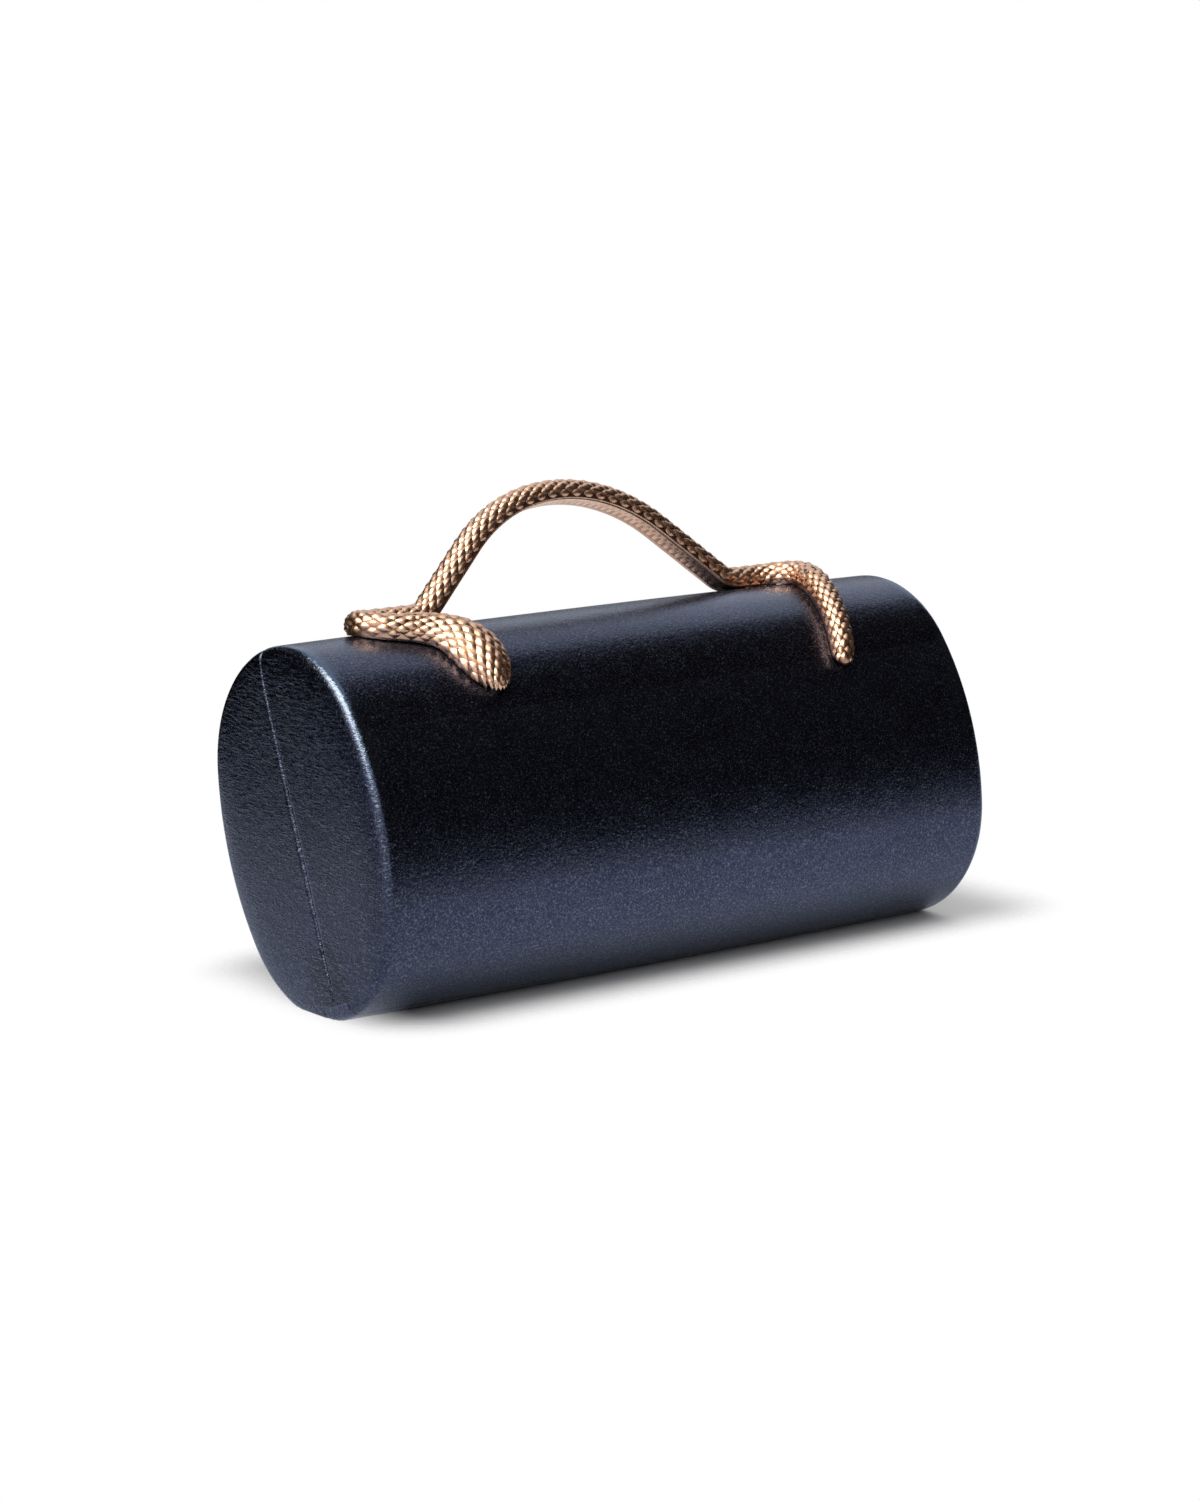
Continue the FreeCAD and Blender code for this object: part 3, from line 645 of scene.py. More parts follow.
@dataclass
class HalfShell:
    """One layer of a half of the bag: its wall, its two ends and the rounded rims between them."""

    half: Half
    cut: ShellCut
    form: BarrelForm
    wrinkles: float = 0.0
    crown: float = 0.0
    padding: float = 0.0
    seed: int = 3
    roll_off: float = 0.0035
    lip_fade: float = 0.003
    corner_step: float = 1e-5
    long_crease: Triple = (0.011, 0.0019, 5.0)
    short_crease: Triple = (0.005, 0.0011, 3.0)
    crease_power: int = 3
    side_seed: int = 11
    sway: Span = (0.004, 0.02)
    sway_share: float = 0.12
    sway_seed: int = 5
    long_share: float = 0.7
    open_share: float = 0.35
    seam_way: float = 0.013
    deepest: float = 0.85

    def columns(self, angle: np.ndarray, inset: float, rim: float, edge: np.ndarray | None
                ) -> tuple[np.ndarray, np.ndarray]:
        """Points and normals along each row, from one end's inner edge over the wall to the other.

        Args:
            angle: Angle from the top of each row.
            inset: Depth under the outer surface.
            rim: Radius of the rounding between wall and end.
            edge: Where each row's end face stops, as h and v, or None for the strip's tabs.

        Returns:
            Points as x, h, v and their outward normals, by row and column.
        """
        end = self.form.length / 2 - inset
        facing = np.stack([np.sin(angle), np.cos(angle)], -1)
        wall, start = self.form.outline(angle, inset), self.form.outline(angle, inset + rim)
        if edge is None:
            edge = np.stack([start[:, 0], np.full(len(start), self.cut.slot_top)], -1)
        bends = np.linspace(0.0, math.pi / 2, self.cut.rim)[1:]
        shares = np.linspace(0.0, 1.0, self.cut.face)[1:]
        x = np.concatenate([np.linspace(0.0, end - rim, self.cut.wall), end - rim + rim * np.sin(bends),
                            np.full(len(shares), end)])
        bend = np.concatenate([np.zeros(self.cut.wall), bends, np.full(len(shares), math.pi / 2)])
        share = np.concatenate([np.zeros(len(x) - len(shares)), shares])
        drop = rim * (1 - np.cos(bend))
        section = (wall[:, None] - facing[:, None] * drop[:, None]
                   + (edge - start)[:, None] * share[:, None])
        size = section.shape[:2]
        right = np.dstack([np.broadcast_to(x, size), section])
        normal = np.dstack([np.broadcast_to(np.sin(bend), size), facing[:, None] * np.cos(bend)[:, None]])
        mirror = np.array([-1.0, 1.0, 1.0])
        return tuple(np.concatenate([side[:, :0:-1] * mirror, side], 1) for side in (right, normal))

    def grid(self, inset: float, rim: float) -> tuple[np.ndarray, np.ndarray]:
        """One side of the shell.

        Args:
            inset: Depth under the outer surface.
            rim: Radius of the rounding between wall and end.

        Returns:
            Points as x, h, v and their outward normals, by row and column.
        """
        form, cut = self.form, self.cut
        radius = form.tip_radius - inset
        last = math.pi - math.asin(cut.slot_half / radius)
        angle = form.even_angles(math.asin(form.seam / radius), last, cut.rows - 2)
        corner = math.acos((cut.slot_top + form.tip_rise) / (radius - rim))
        angle = np.sort(np.append(angle, [corner - self.corner_step, corner + self.corner_step]))
        start_h, start_v = form.outline(angle, inset + rim).T
        stop = np.where(angle < corner, np.minimum(form.seam, start_h), start_h[-1])
        return self.columns(angle, inset, rim, np.stack([stop, start_v], -1))

    def swell(self, points: np.ndarray, normals: np.ndarray) -> np.ndarray:
        """Depth of the wall, which is crowned, and of the ends, which roll over softly to their rims.

        Args:
            points: Points as x, h, v.
            normals: Their outward normals.

        Returns:
            Depth of each point, below 0 where it stands proud.
        """
        x, h, v = np.moveaxis(points, -1, 0)
        facing = np.abs(normals[..., 0])
        inside = np.clip(self.form.under(h, v) - self.cut.outer_rim, 0.0, None)
        return (self.crown * ((2 * x / self.form.length) ** 2 - 0.5) * (1 - facing)
                + self.padding * (np.exp(-inside / self.roll_off) - 1.0) * facing ** 2)

    def relief(self, points: np.ndarray, normals: np.ndarray) -> np.ndarray:
        """Depth by which the surface lies in: the turned lip, the swell and the creases of the ends.

        Args:
            points: Points as x, h, v.
            normals: Their outward normals.

        Returns:
            Depth of each point.
        """
        x, h, v = np.moveaxis(points, -1, 0)
        cut = self.cut
        near = np.clip(1.0 - (h - self.form.seam) / cut.lip, 0.0, 1.0)
        fade = eased(v, cut.slot_top, cut.slot_top + self.lip_fade)
        depth = cut.lip * (1.0 - np.sqrt(1.0 - near ** 2)) * fade + self.swell(points, normals)
        weight = self.open_share + (1 - self.open_share) * np.exp(-h / self.seam_way)
        weight *= self.wrinkles * normals[..., 0] ** 2
        sway = self.sway_share * value_noise(h / self.sway[0], v / self.sway[1], self.sway_seed)
        creases = ((*self.long_crease, sway, self.long_share), (*self.short_crease, 0.0, 1 - self.long_share))
        for left in (False, True):
            pattern = self.seed + self.side_seed * left
            for number, (length, pitch, shift, bent, share) in enumerate(creases):
                ridge = value_noise(h / length + shift, v / pitch + bent, pattern + number)
                folds = (1 - np.abs(ridge)) ** self.crease_power * share
                depth += np.where((x < 0) == left, weight * folds, 0.0)
        return np.minimum(depth, self.deepest * (cut.inner_inset - cut.outer_inset))

    def close(self, name: str, sides: list[tuple[np.ndarray, float]], material: Material) -> Piece:
        """Joins the two sides of the layer into a closed piece that stays on or over the floor.

        Args:
            name: Name of the piece.
            sides: Points as x, h, v of the outer and the inner side, each with its inset.
            material: Its finish.

        Returns:
            The piece.
        """
        corners = []
        for points, inset in sides:
            placed = self.form.to_row(points)
            placed[..., 2] = np.maximum(placed[..., 2], inset)
            corners.append(placed.reshape(-1, 3))
        return closed_mesh(name, np.concatenate(corners), shell_faces(*points.shape[:2]), material)

    def build(self, name: str, material: Material, relief_outside: bool) -> Piece:
        """Makes the layer as a closed shell.

        Args:
            name: Name of the piece.
            material: Its finish.
            relief_outside: True where the relief is on the outer side, False for the inner one.

        Returns:
            The piece.
        """
        sides = []
        for inset, rim, outer in ((self.cut.outer_inset, self.cut.outer_rim, True),
                                  (self.cut.inner_inset, self.cut.inner_rim, False)):
            points, normals = self.grid(inset, rim)
            if outer == relief_outside:
                depth = self.relief(points, normals) * (-1.0 if outer else 1.0)
                points = points + normals * depth[..., None]
            points[..., 1] *= self.half.value
            sides.append((points, inset))
        return self.close(name, sides, material)


# Sub-assemblies


@dataclass
class LeatherCover:
    """The leather: a skin on each half, and the strip that bridges them over the hinge."""

    finish: Material
    form: BarrelForm = BarrelForm()
    thickness: float = 0.0012
    rim: float = 0.003
    lip: float = 0.0004
    wrinkles: float = 0.00010
    crown: float = 0.0006
    padding: float = 0.0007
    strip_half: float = 0.006
    strip_top: float = -0.0455
    strip_thickness: float = 0.0010
    strip_rows: int = 25
    strip_bend: float = 0.0052
    end_fade: float = 0.002
    # gather marks: real crease relief, and painted light and painted shade on the end faces
    creases_and_painted_light_all: float = 0.45
    creases_and_painted_light_beside: float = 0.5
    creases_and_painted_light_seam: tuple[float, Span] = (0.017, (-0.020, 0.025))
    creases_and_painted_light_foot: tuple[float, Span] = (0.0075, (-0.026, -0.036))
    # where the rims are rubbed: glossier, and given a painted highlight by the finish
    rubbed_wall: Span = (0.0006, -0.0004)
    rubbed_end: Span = (0.0003, 0.0011)
    rubbed_height: Span = (-0.011, 0.016)
    back_seed: int = 23
    front_seed: int = 3

    def shell(self, half: Half) -> HalfShell:
        """Shape of the leather on a half.

        Args:
            half: The half.

        Returns:
            The shape.
        """
        cut = ShellCut(0.0, self.thickness, self.rim, self.rim - self.thickness, self.strip_half,
                       self.strip_top, self.lip)
        seed = self.front_seed if half is Half.FRONT else self.back_seed
        return HalfShell(half, cut, self.form, self.wrinkles, self.crown, self.padding, seed)

    def build_skin(self, half: Half) -> Piece:
        """Makes the skin of a half, which stands for its leather and its end panels.

        Args:
            half: The half.

        Returns:
            The piece.
        """
        skin = self.shell(half).build(f"{half.body}_skin", self.finish, relief_outside=True)
        self.mark_skin(skin.data)
        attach(skin, half.body)
        nodes = [f"{half.body}_{part}" for part in ("leather", "left_end_panel", "right_end_panel")]
        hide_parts(*nodes)
        return skin

    def mark_skin(self, mesh: bpy.types.Mesh) -> None:
        """Marks the gathered ends, most beside the seam and at its foot, which the finish paints lighter and
        paints shade into, and the rubbed upper rims, where it paints a highlight.

        Args:
            mesh: The skin of a half.
        """
        corners = np.empty(len(mesh.vertices) * 3)
        mesh.vertices.foreach_get("co", corners)
        x, h, v = self.form.from_row(corners.reshape(-1, 3)).T
        inside = self.form.length / 2 - np.abs(x)
        facing = eased(inside, self.rim, self.rim - self.end_fade)
        beside, foot = (np.exp(-(h / width) ** 2) * eased(v, *heights)
                        for width, heights in (self.creases_and_painted_light_seam, self.creases_and_painted_light_foot))
        # the gather mark drives crease relief and, in the finish, painted light and painted crease shade
        creases_and_painted_light = np.clip(self.creases_and_painted_light_all + self.creases_and_painted_light_beside * beside + foot, 0.0, 1.0)
        mark_points(mesh, "creases_and_painted_light", facing * creases_and_painted_light)
        # rubbed upper rims: the finish makes them glossier and paints a highlight on them
        first, last = (self.rim + way for way in self.rubbed_wall)
        mark_points(mesh, "rubbed", eased(inside, first, last) * eased(inside, *self.rubbed_end)
                    * eased(v, *self.rubbed_height))

    def build_strip(self) -> Piece:
        """Makes the strip over the hinge.

        Returns:
            The piece.
        """
        shell = self.shell(Half.BACK)
        sides = []
        for inset in (0.0, self.strip_thickness):
            reach = math.asin(self.strip_half / (self.form.tip_radius - inset))
            angle = np.linspace(math.pi - reach, math.pi + reach, self.strip_rows)
            points, normals = shell.columns(angle, inset, self.rim - inset, None)
            sides.append((points - normals * shell.swell(points, normals)[..., None], inset))
        strip = shell.close("spine_leather", sides, self.finish)
        low = -self.form.half_height
        ends = self.form.to_row([[0.0, self.strip_bend, low], [0.0, -self.strip_bend, low]])
        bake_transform(strip)
        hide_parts("spine_strip")
        return strip


@dataclass
class PaddedLining:
    """The padded cloth liner of each half."""

    finish: Material
    form: BarrelForm = BarrelForm()
    outer_inset: float = 0.00365
    inner_inset: float = 0.00625
    outer_rim: float = 0.0004
    inner_rim: float = 0.0025
    slot_half: float = 0.0022
    slot_rise: float = 0.0006
    lip: float = 0.0011
    wrinkles: float = 0.00012
    back_seed: int = 59
    front_seed: int = 41

    def build(self, half: Half) -> Piece:
        """Makes the liner of a half.

        Args:
            half: The half.

        Returns:
            The piece.
        """
        top = self.inner_inset + self.inner_rim - self.form.half_height + self.slot_rise
        cut = ShellCut(self.outer_inset, self.inner_inset, self.outer_rim, self.inner_rim, self.slot_half,
                       top, self.lip, rows=120, wall=40, rim=6, face=26)
        seed = self.front_seed if half is Half.FRONT else self.back_seed
        shell = HalfShell(half, cut, self.form, self.wrinkles, seed=seed)
        liner = shell.build(f"{half.body}_liner", self.finish, relief_outside=False)
        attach(liner, half.body)
        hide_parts(f"{half.body}_lining")
        return liner


@dataclass
class SnakeHandle:
    """The cast snake: an arch over the bag, its head and its tail laid on the front half."""

    gold: Material
    form: BarrelForm = BarrelForm()
    body_width: float = 0.0074
    body_thickness: float = 0.0060
    plane: float = 0.0040
    arch_rise: float = 0.0334
    arch_radius: float = 0.0500
    arch_angle: float = math.radians(42.0)
    foot_radius: float = 0.0070
    head_reach: float = 0.0770
    head_bend: float = 0.0080
    neck_turn: float = math.radians(154.0)
    neck_length: float = 0.0080
    nape_radius: float = 0.0160
    nape_turn: float = math.radians(62.5)
    snout_length: float = 0.0122
    tail_reach: float = 0.0730
    tail_bend: float = 0.0105
    tail_turn: float = math.radians(108.0)
    tail_length: float = 0.0400
    head_width: float = 0.0158
    head_thickness: float = 0.0070
    head_length: float = 0.0330
    neck_taper: float = 0.0050
    tail_tip_width: float = 0.0062
    tail_point: float = 0.0050
    tail_taper: float = 0.0360
    seat_gap: float = 0.0002
    flank: float = 0.3
    station_step: float = 0.0006
    calm_girths: int = 5
    calm_normals: int = 17
    calm_from: int = 12
    back_points: int = 25
    belly_points: int = 5
    sunk: float = 0.00022
    least: float = 0.0004
    edge_crown: float = 0.5
    head_scales: int = 7
    body_scales: int = 6
    tail_scales: int = 5
    scale_ends: Span = (0.0004, 0.0003)
    scale_edge: float = 0.03
    scale_step: float = 0.78
    tail_step: float = 0.64
    scale_size: Triple = (1.06, 2.2, 0.24)
    plate_ends: Span = (0.004, 0.003)
    plate_pitch: float = 0.0022
    plate_width: float = 1.76
    plate_overlap: float = 1.05
    plate_height: float = 0.00030
    plate_sunk: float = 0.00012
    foot: float = -0.30
    rings: dict[str, np.ndarray] = field(init=False)

    HEAD_FORM = ((0.0, 0.20, 0.40), (0.015, 0.34, 0.52), (0.045, 0.50, 0.65), (0.11, 0.68, 0.78),
                 (0.21, 0.86, 0.90), (0.33, 0.98, 0.97), (0.44, 1.00, 1.00), (0.55, 0.97, 1.00),
                 (0.67, 0.86, 0.98), (0.82, 0.69, 0.94), (1.0, 0.55, 0.90))
    TAIL_FORM = ((0.0, 0.40), (0.13, 0.66), (0.4, 0.86), (1.0, 1.0))

    def __post_init__(self) -> None:
        """Works out the sections along the snake."""
        self.rings = self.stations()

    @property
    def ring(self) -> float:
        """Radius at which the body's middle runs round the barrel's top."""
        return self.form.tip_radius + self.seat_gap + self.body_thickness / 2

    @property
    def top(self) -> float:
        """Height of the arch's middle line at its top."""
        return self.form.half_height + self.arch_rise

    @property
    def arch(self) -> Moves:
        """Moves of the arch, from its top outward.

        Returns:
            Length and turn of each.
        """
        level = self.form.tip_rise + math.sqrt(self.ring ** 2 - self.plane ** 2)
        drop = self.top - self.arch_radius * (1 - math.cos(self.arch_angle)) - level
        leg = drop / math.sin(self.arch_angle) - self.foot_radius * math.tan(self.arch_angle / 2)
        return [(self.arch_radius * self.arch_angle, self.arch_angle), (leg, 0.0),
                (self.foot_radius * self.arch_angle, -self.arch_angle)]

    def moves(self, head: bool) -> Moves:
        """Moves on the barrel, from the foot of the arch outward.

        Args:
            head: True on the head's side.

        Returns:
            Length and turn of each.
        """
        foot = self.walk(self.arch, self.span(self.arch))[0]
        if head:
            return [(self.head_reach - self.head_bend - foot, 0.0),
                    (self.head_bend * self.neck_turn, self.neck_turn), (self.neck_length, 0.0),
                    (self.nape_radius * self.nape_turn, -self.nape_turn), (self.snout_length, 0.0)]
        return [(self.tail_reach - self.tail_bend - foot, 0.0),
                (self.tail_bend * self.tail_turn, self.tail_turn), (self.tail_length, 0.0)]

    @staticmethod
    def span(moves: Moves) -> float:
        """Gives the length of some moves together."""
        return sum(length for length, _ in moves)

    @staticmethod
    def walk(moves: Moves, distance: float) -> Span:
        """Follows lines and arcs that set out along the first axis.

        Args:
            moves: Length and turn of each.
            distance: How far to go.

        Returns:
            Place after that distance, as across and down.
        """
        across = down = heading = 0.0
        for length, turn in moves:
            part = min(distance, length)
            after = heading + turn * part / length
            if turn:
                radius = length / turn
                across += radius * (math.sin(after) - math.sin(heading))
                down += radius * (math.cos(heading) - math.cos(after))
            else:
                across += part * math.cos(heading)
                down += part * math.sin(heading)
            heading = after
            distance -= part
        return across, down

    def place(self, along: float, thick: float) -> tuple[list[float], list[float]]:
        """Middle of a section and the way its back points.

        Args:
            along: Distance from the top of the arch, negative towards the head.
            thick: Half of the thickness there.

        Returns:
            The middle and the normal, as x, h, v.
        """
        side = -1.0 if along < 0 else 1.0
        distance, span = abs(along), self.span(self.arch)
        across, down = self.walk(self.arch, min(distance, span))
        if distance <= span:
            return [side * across, -self.plane, self.top - down], [0.0, 0.0, 1.0]
        further, lower = self.walk(self.moves(along < 0), distance - span)
        way = lower + self.ring * math.asin(self.plane / self.ring)
        angle = way / self.ring
        radius, centre = self.form.tip_radius, (0.0, self.form.tip_rise)
        if angle > self.form.turn:
            radius, centre = self.form.side_radius, (self.form.side_offset, 0.0)
            outer = radius + self.seat_gap + self.body_thickness / 2
            angle = self.form.turn + (way - self.form.turn * self.ring) / outer
        sine, cosine = math.sin(angle), math.cos(angle)
        reach = radius + self.seat_gap + thick
        middle = [side * (across + further), centre[0] - sine * reach, centre[1] + cosine * reach]
        return middle, [0.0, -sine, cosine]

    def girths(self) -> tuple[np.ndarray, np.ndarray, np.ndarray]:
        """Half width and half thickness at chosen distances, from snout to tail tip.

        Returns:
            Distances from the top of the arch, half widths and half thicknesses.
        """
        head, tail = (self.span(self.arch) + self.span(self.moves(side)) for side in (True, False))
        rows = [(far * self.head_length - head, self.head_width / 2 * wide, self.head_thickness / 2 * thick)
                for far, wide, thick in self.HEAD_FORM]
        body = (self.body_width / 2, self.body_thickness / 2)
        rows += [(self.head_length + self.neck_taper - head, *body), (tail - self.tail_taper, *body)]
        slim = self.tail_tip_width / self.body_width
        rows += [(tail - far * self.tail_point, body[0] * slim * share, body[1] * slim * share)
                 for far, share in reversed(self.TAIL_FORM)]
        return tuple(np.array(column) for column in zip(*rows))

    def stations(self) -> dict[str, np.ndarray]:
        """Sections along the whole snake.

        Returns:
            Their distances, middles, frames (along, across, up), half widths and half thicknesses.
        """
        marks, wide, thick = self.girths()
        along = np.linspace(marks[0], marks[-1], int((marks[-1] - marks[0]) / self.station_step))
        widths, thicks = np.interp(along, marks, wide), np.interp(along, marks, thick)
        calm, inner = np.ones(self.calm_girths) / self.calm_girths, slice(self.calm_from, -self.calm_from)
        for girth in (widths, thicks):
            girth[inner] = np.convolve(girth, calm, "same")[inner]
        middle, normal = (np.array(part) for part in zip(*map(self.place, along, thicks)))
        middle = self.form.to_row(middle)
        padded = np.pad(normal, ((self.calm_normals // 2,) * 2, (0, 0)), "edge")
        calm = np.ones(self.calm_normals) / self.calm_normals
        normal = np.stack([np.convolve(part, calm, "valid") for part in padded.T], -1) @ self.form.axes
        forward = np.gradient(middle, axis=0)
        forward /= np.linalg.norm(forward, axis=1, keepdims=True)
        across = np.cross(normal, forward)
        across /= np.linalg.norm(across, axis=1, keepdims=True)
        return {"along": along, "middle": middle, "forward": forward, "across": across,
                "up": np.cross(forward, across), "wide": widths, "thick": thicks}

    def at(self, along: float | np.ndarray) -> dict[str, np.ndarray]:
        """Sections between the stations.

        Args:
            along: One distance from the top of the arch, or several.

        Returns:
            The same values as stations() gives.
        """
        marks = self.rings["along"]
        return {key: np.interp(along, marks, part) if part.ndim == 1
                else np.stack([np.interp(along, marks, column) for column in part.T], -1)
                for key, part in self.rings.items()}

    def section(self, wide: np.ndarray, thick: np.ndarray, share: np.ndarray
                ) -> tuple[np.ndarray, np.ndarray, np.ndarray]:
        """Points over the back of a section, from one edge of the belly to the other.

        Args:
            wide: Half widths.
            thick: Half thicknesses.
            share: Way over the back, from 0 to 1.

        Returns:
            Points as across and up, their normals, and the whole way round the back.
        """
        flank = 2 * self.flank * thick
        rise = 2 * thick - flank
        radius = (wide ** 2 + rise ** 2) / (2 * rise)
        bend = np.arccos(np.clip((radius - rise) / radius, -1.0, 1.0))
        girth = 2 * flank + 2 * radius * bend
        way = share * girth
        angle = np.clip(bend - (way - flank) / radius, -bend, bend)
        low, high = way < flank, way > girth - flank
        spot_across = np.where(low, wide, np.where(high, -wide, radius * np.sin(angle)))
        spot_up = np.where(low, way - thick, np.where(high, girth - way - thick,
                                                      thick - radius + radius * np.cos(angle)))
        facing_across = np.where(low, 1.0, np.where(high, -1.0, np.sin(angle)))
        facing_up = np.where(low | high, 0.0, np.cos(angle))
        return np.stack([spot_across, spot_up], -1), np.stack([facing_across, facing_up], -1), girth

    def build_body(self) -> Piece:
        """Makes the body under the scales.

        Returns:
            The piece.
        """
        rings = self.rings
        wide = np.maximum(rings["wide"] - self.sunk, self.least)[:, None]
        thick = np.maximum(rings["thick"] - self.sunk / 2, self.least)[:, None]
        spots = self.section(wide, thick, np.linspace(0.0, 1.0, self.back_points))[0]
        belly = wide * np.linspace(-1.0, 1.0, self.belly_points + 2)[1:-1]
        flat = np.stack([belly, np.broadcast_to(-thick, belly.shape)], -1)
        spots = np.concatenate([spots, flat], 1)
        points = (rings["middle"][:, None] + spots[..., :1] * rings["across"][:, None]
                  + (spots[..., 1:] - self.sunk / 2) * rings["up"][:, None])
        rows, around = points.shape[:2]
        corner = np.arange(rows * around).reshape(rows, around)
        after = np.roll(corner, -1, 1)
        sides = np.stack([corner[:-1], after[:-1], after[1:], corner[1:]], -1).reshape(-1, 4).tolist()
        ends = [[int(corner[row, 0]), int(corner[row, number]), int(corner[row, number + 1])][::way]
                for row, way in ((0, -1), (-1, 1)) for number in range(1, around - 1)]
        body = closed_mesh("snake_body", points.reshape(-1, 3), sides + ends, self.gold)
        crown, last = np.zeros(around), self.back_points - 1
        crown[[0, 1, last - 1, last, last + 1, around - 1]] = self.edge_crown
        mark_points(body.data, "crown", np.tile(crown, rows))
        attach(body, Half.FRONT.body)
        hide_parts("snake_handle")
        return body

    def scale_spots(self) -> dict[str, np.ndarray]:
        """Places of the diamond scales, in staggered rows from snout to tail.

        Returns:
            Point, normal, way along and size (width, length, height) of each scale.
        """
        start, end = self.rings["along"][[0, -1]]
        found: dict[str, list] = {"point": [], "normal": [], "forward": [], "size": []}
        along, odd = start + self.scale_ends[0], 0
        while along < end - self.scale_ends[1]:
            here = self.at(along)
            count = self.tail_scales if end - along < self.tail_taper else self.body_scales
            count = self.head_scales if along - start < self.head_length else count
            shares = (np.arange(1, count + odd) - 0.5 * odd) / count
            spots, facing, girth = self.section(here["wide"], here["thick"],
                                                self.scale_edge + (1 - 2 * self.scale_edge) * shares)
            width = girth / count
            step = width * (self.tail_step if count == self.tail_scales else self.scale_step)
            plane = np.stack([here["across"], here["up"]])
            found["point"].extend(here["middle"] + spots @ plane)
            found["normal"].extend(facing @ plane)
            found["forward"] += [here["forward"]] * len(spots)
            found["size"] += [np.multiply(self.scale_size, (width, step, width))] * len(spots)
            along, odd = along + step, 1 - odd
        return {key: np.array(value) for key, value in found.items()}

    def plate_spots(self) -> dict[str, np.ndarray]:
        """Places of the belly plates along the underside.

        Returns:
            Point, normal, way along and size (width, length, height) of each plate.
        """
        start, end = self.rings["along"][[0, -1]]
        here = self.at(np.arange(start + self.plate_ends[0], end - self.plate_ends[1], self.plate_pitch))
        size = np.empty_like(here["up"])
        size[:, 0] = self.plate_width * here["wide"]
        size[:, 1:] = self.plate_pitch * self.plate_overlap, self.plate_height
        return {"point": here["middle"] - (here["thick"] - self.plate_sunk)[:, None] * here["up"],
                "normal": -here["up"], "forward": here["forward"], "size": size}

    def build_coat(self, name: str, tile: Tile, spots: dict[str, np.ndarray]) -> Piece:
        """Makes a coat of scales or plates with Geometry Nodes and turns it into a plain mesh.

        Args:
            name: Name of the piece.
            tile: Outline of one scale.
            spots: Point, normal, way along and size of each scale.

        Returns:
            The piece.
        """
        mesh = bpy.data.meshes.new(f"{name}_spots")
        mesh.from_pydata(spots["point"].tolist(), [], [])
        for key in ("normal", "forward", "size"):
            mark_points(mesh, f"scale_{key}", spots[key])
        carrier = add_object(f"{name}_spots", mesh)
        coat = carrier.modifiers.new("coat", "NODES")
        coat.node_group = coat_tree(f"{name}_coat", tile)
        inputs = {"Tilt": tile.value, "Foot": self.foot, "Finish": self.gold}
        for item in coat.node_group.interface.items_tree:
            if item.in_out == "INPUT" and item.name in inputs:
                coat[item.identifier] = inputs[item.name]
        bpy.context.view_layer.update()
        made = bpy.data.meshes.new_from_object(carrier.evaluated_get(bpy.context.evaluated_depsgraph_get()))
        made.name = name
        carrier.modifiers.remove(coat)
        bpy.data.objects.remove(carrier)
        piece = add_object(name, made)
        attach(piece, Half.FRONT.body)
        return piece


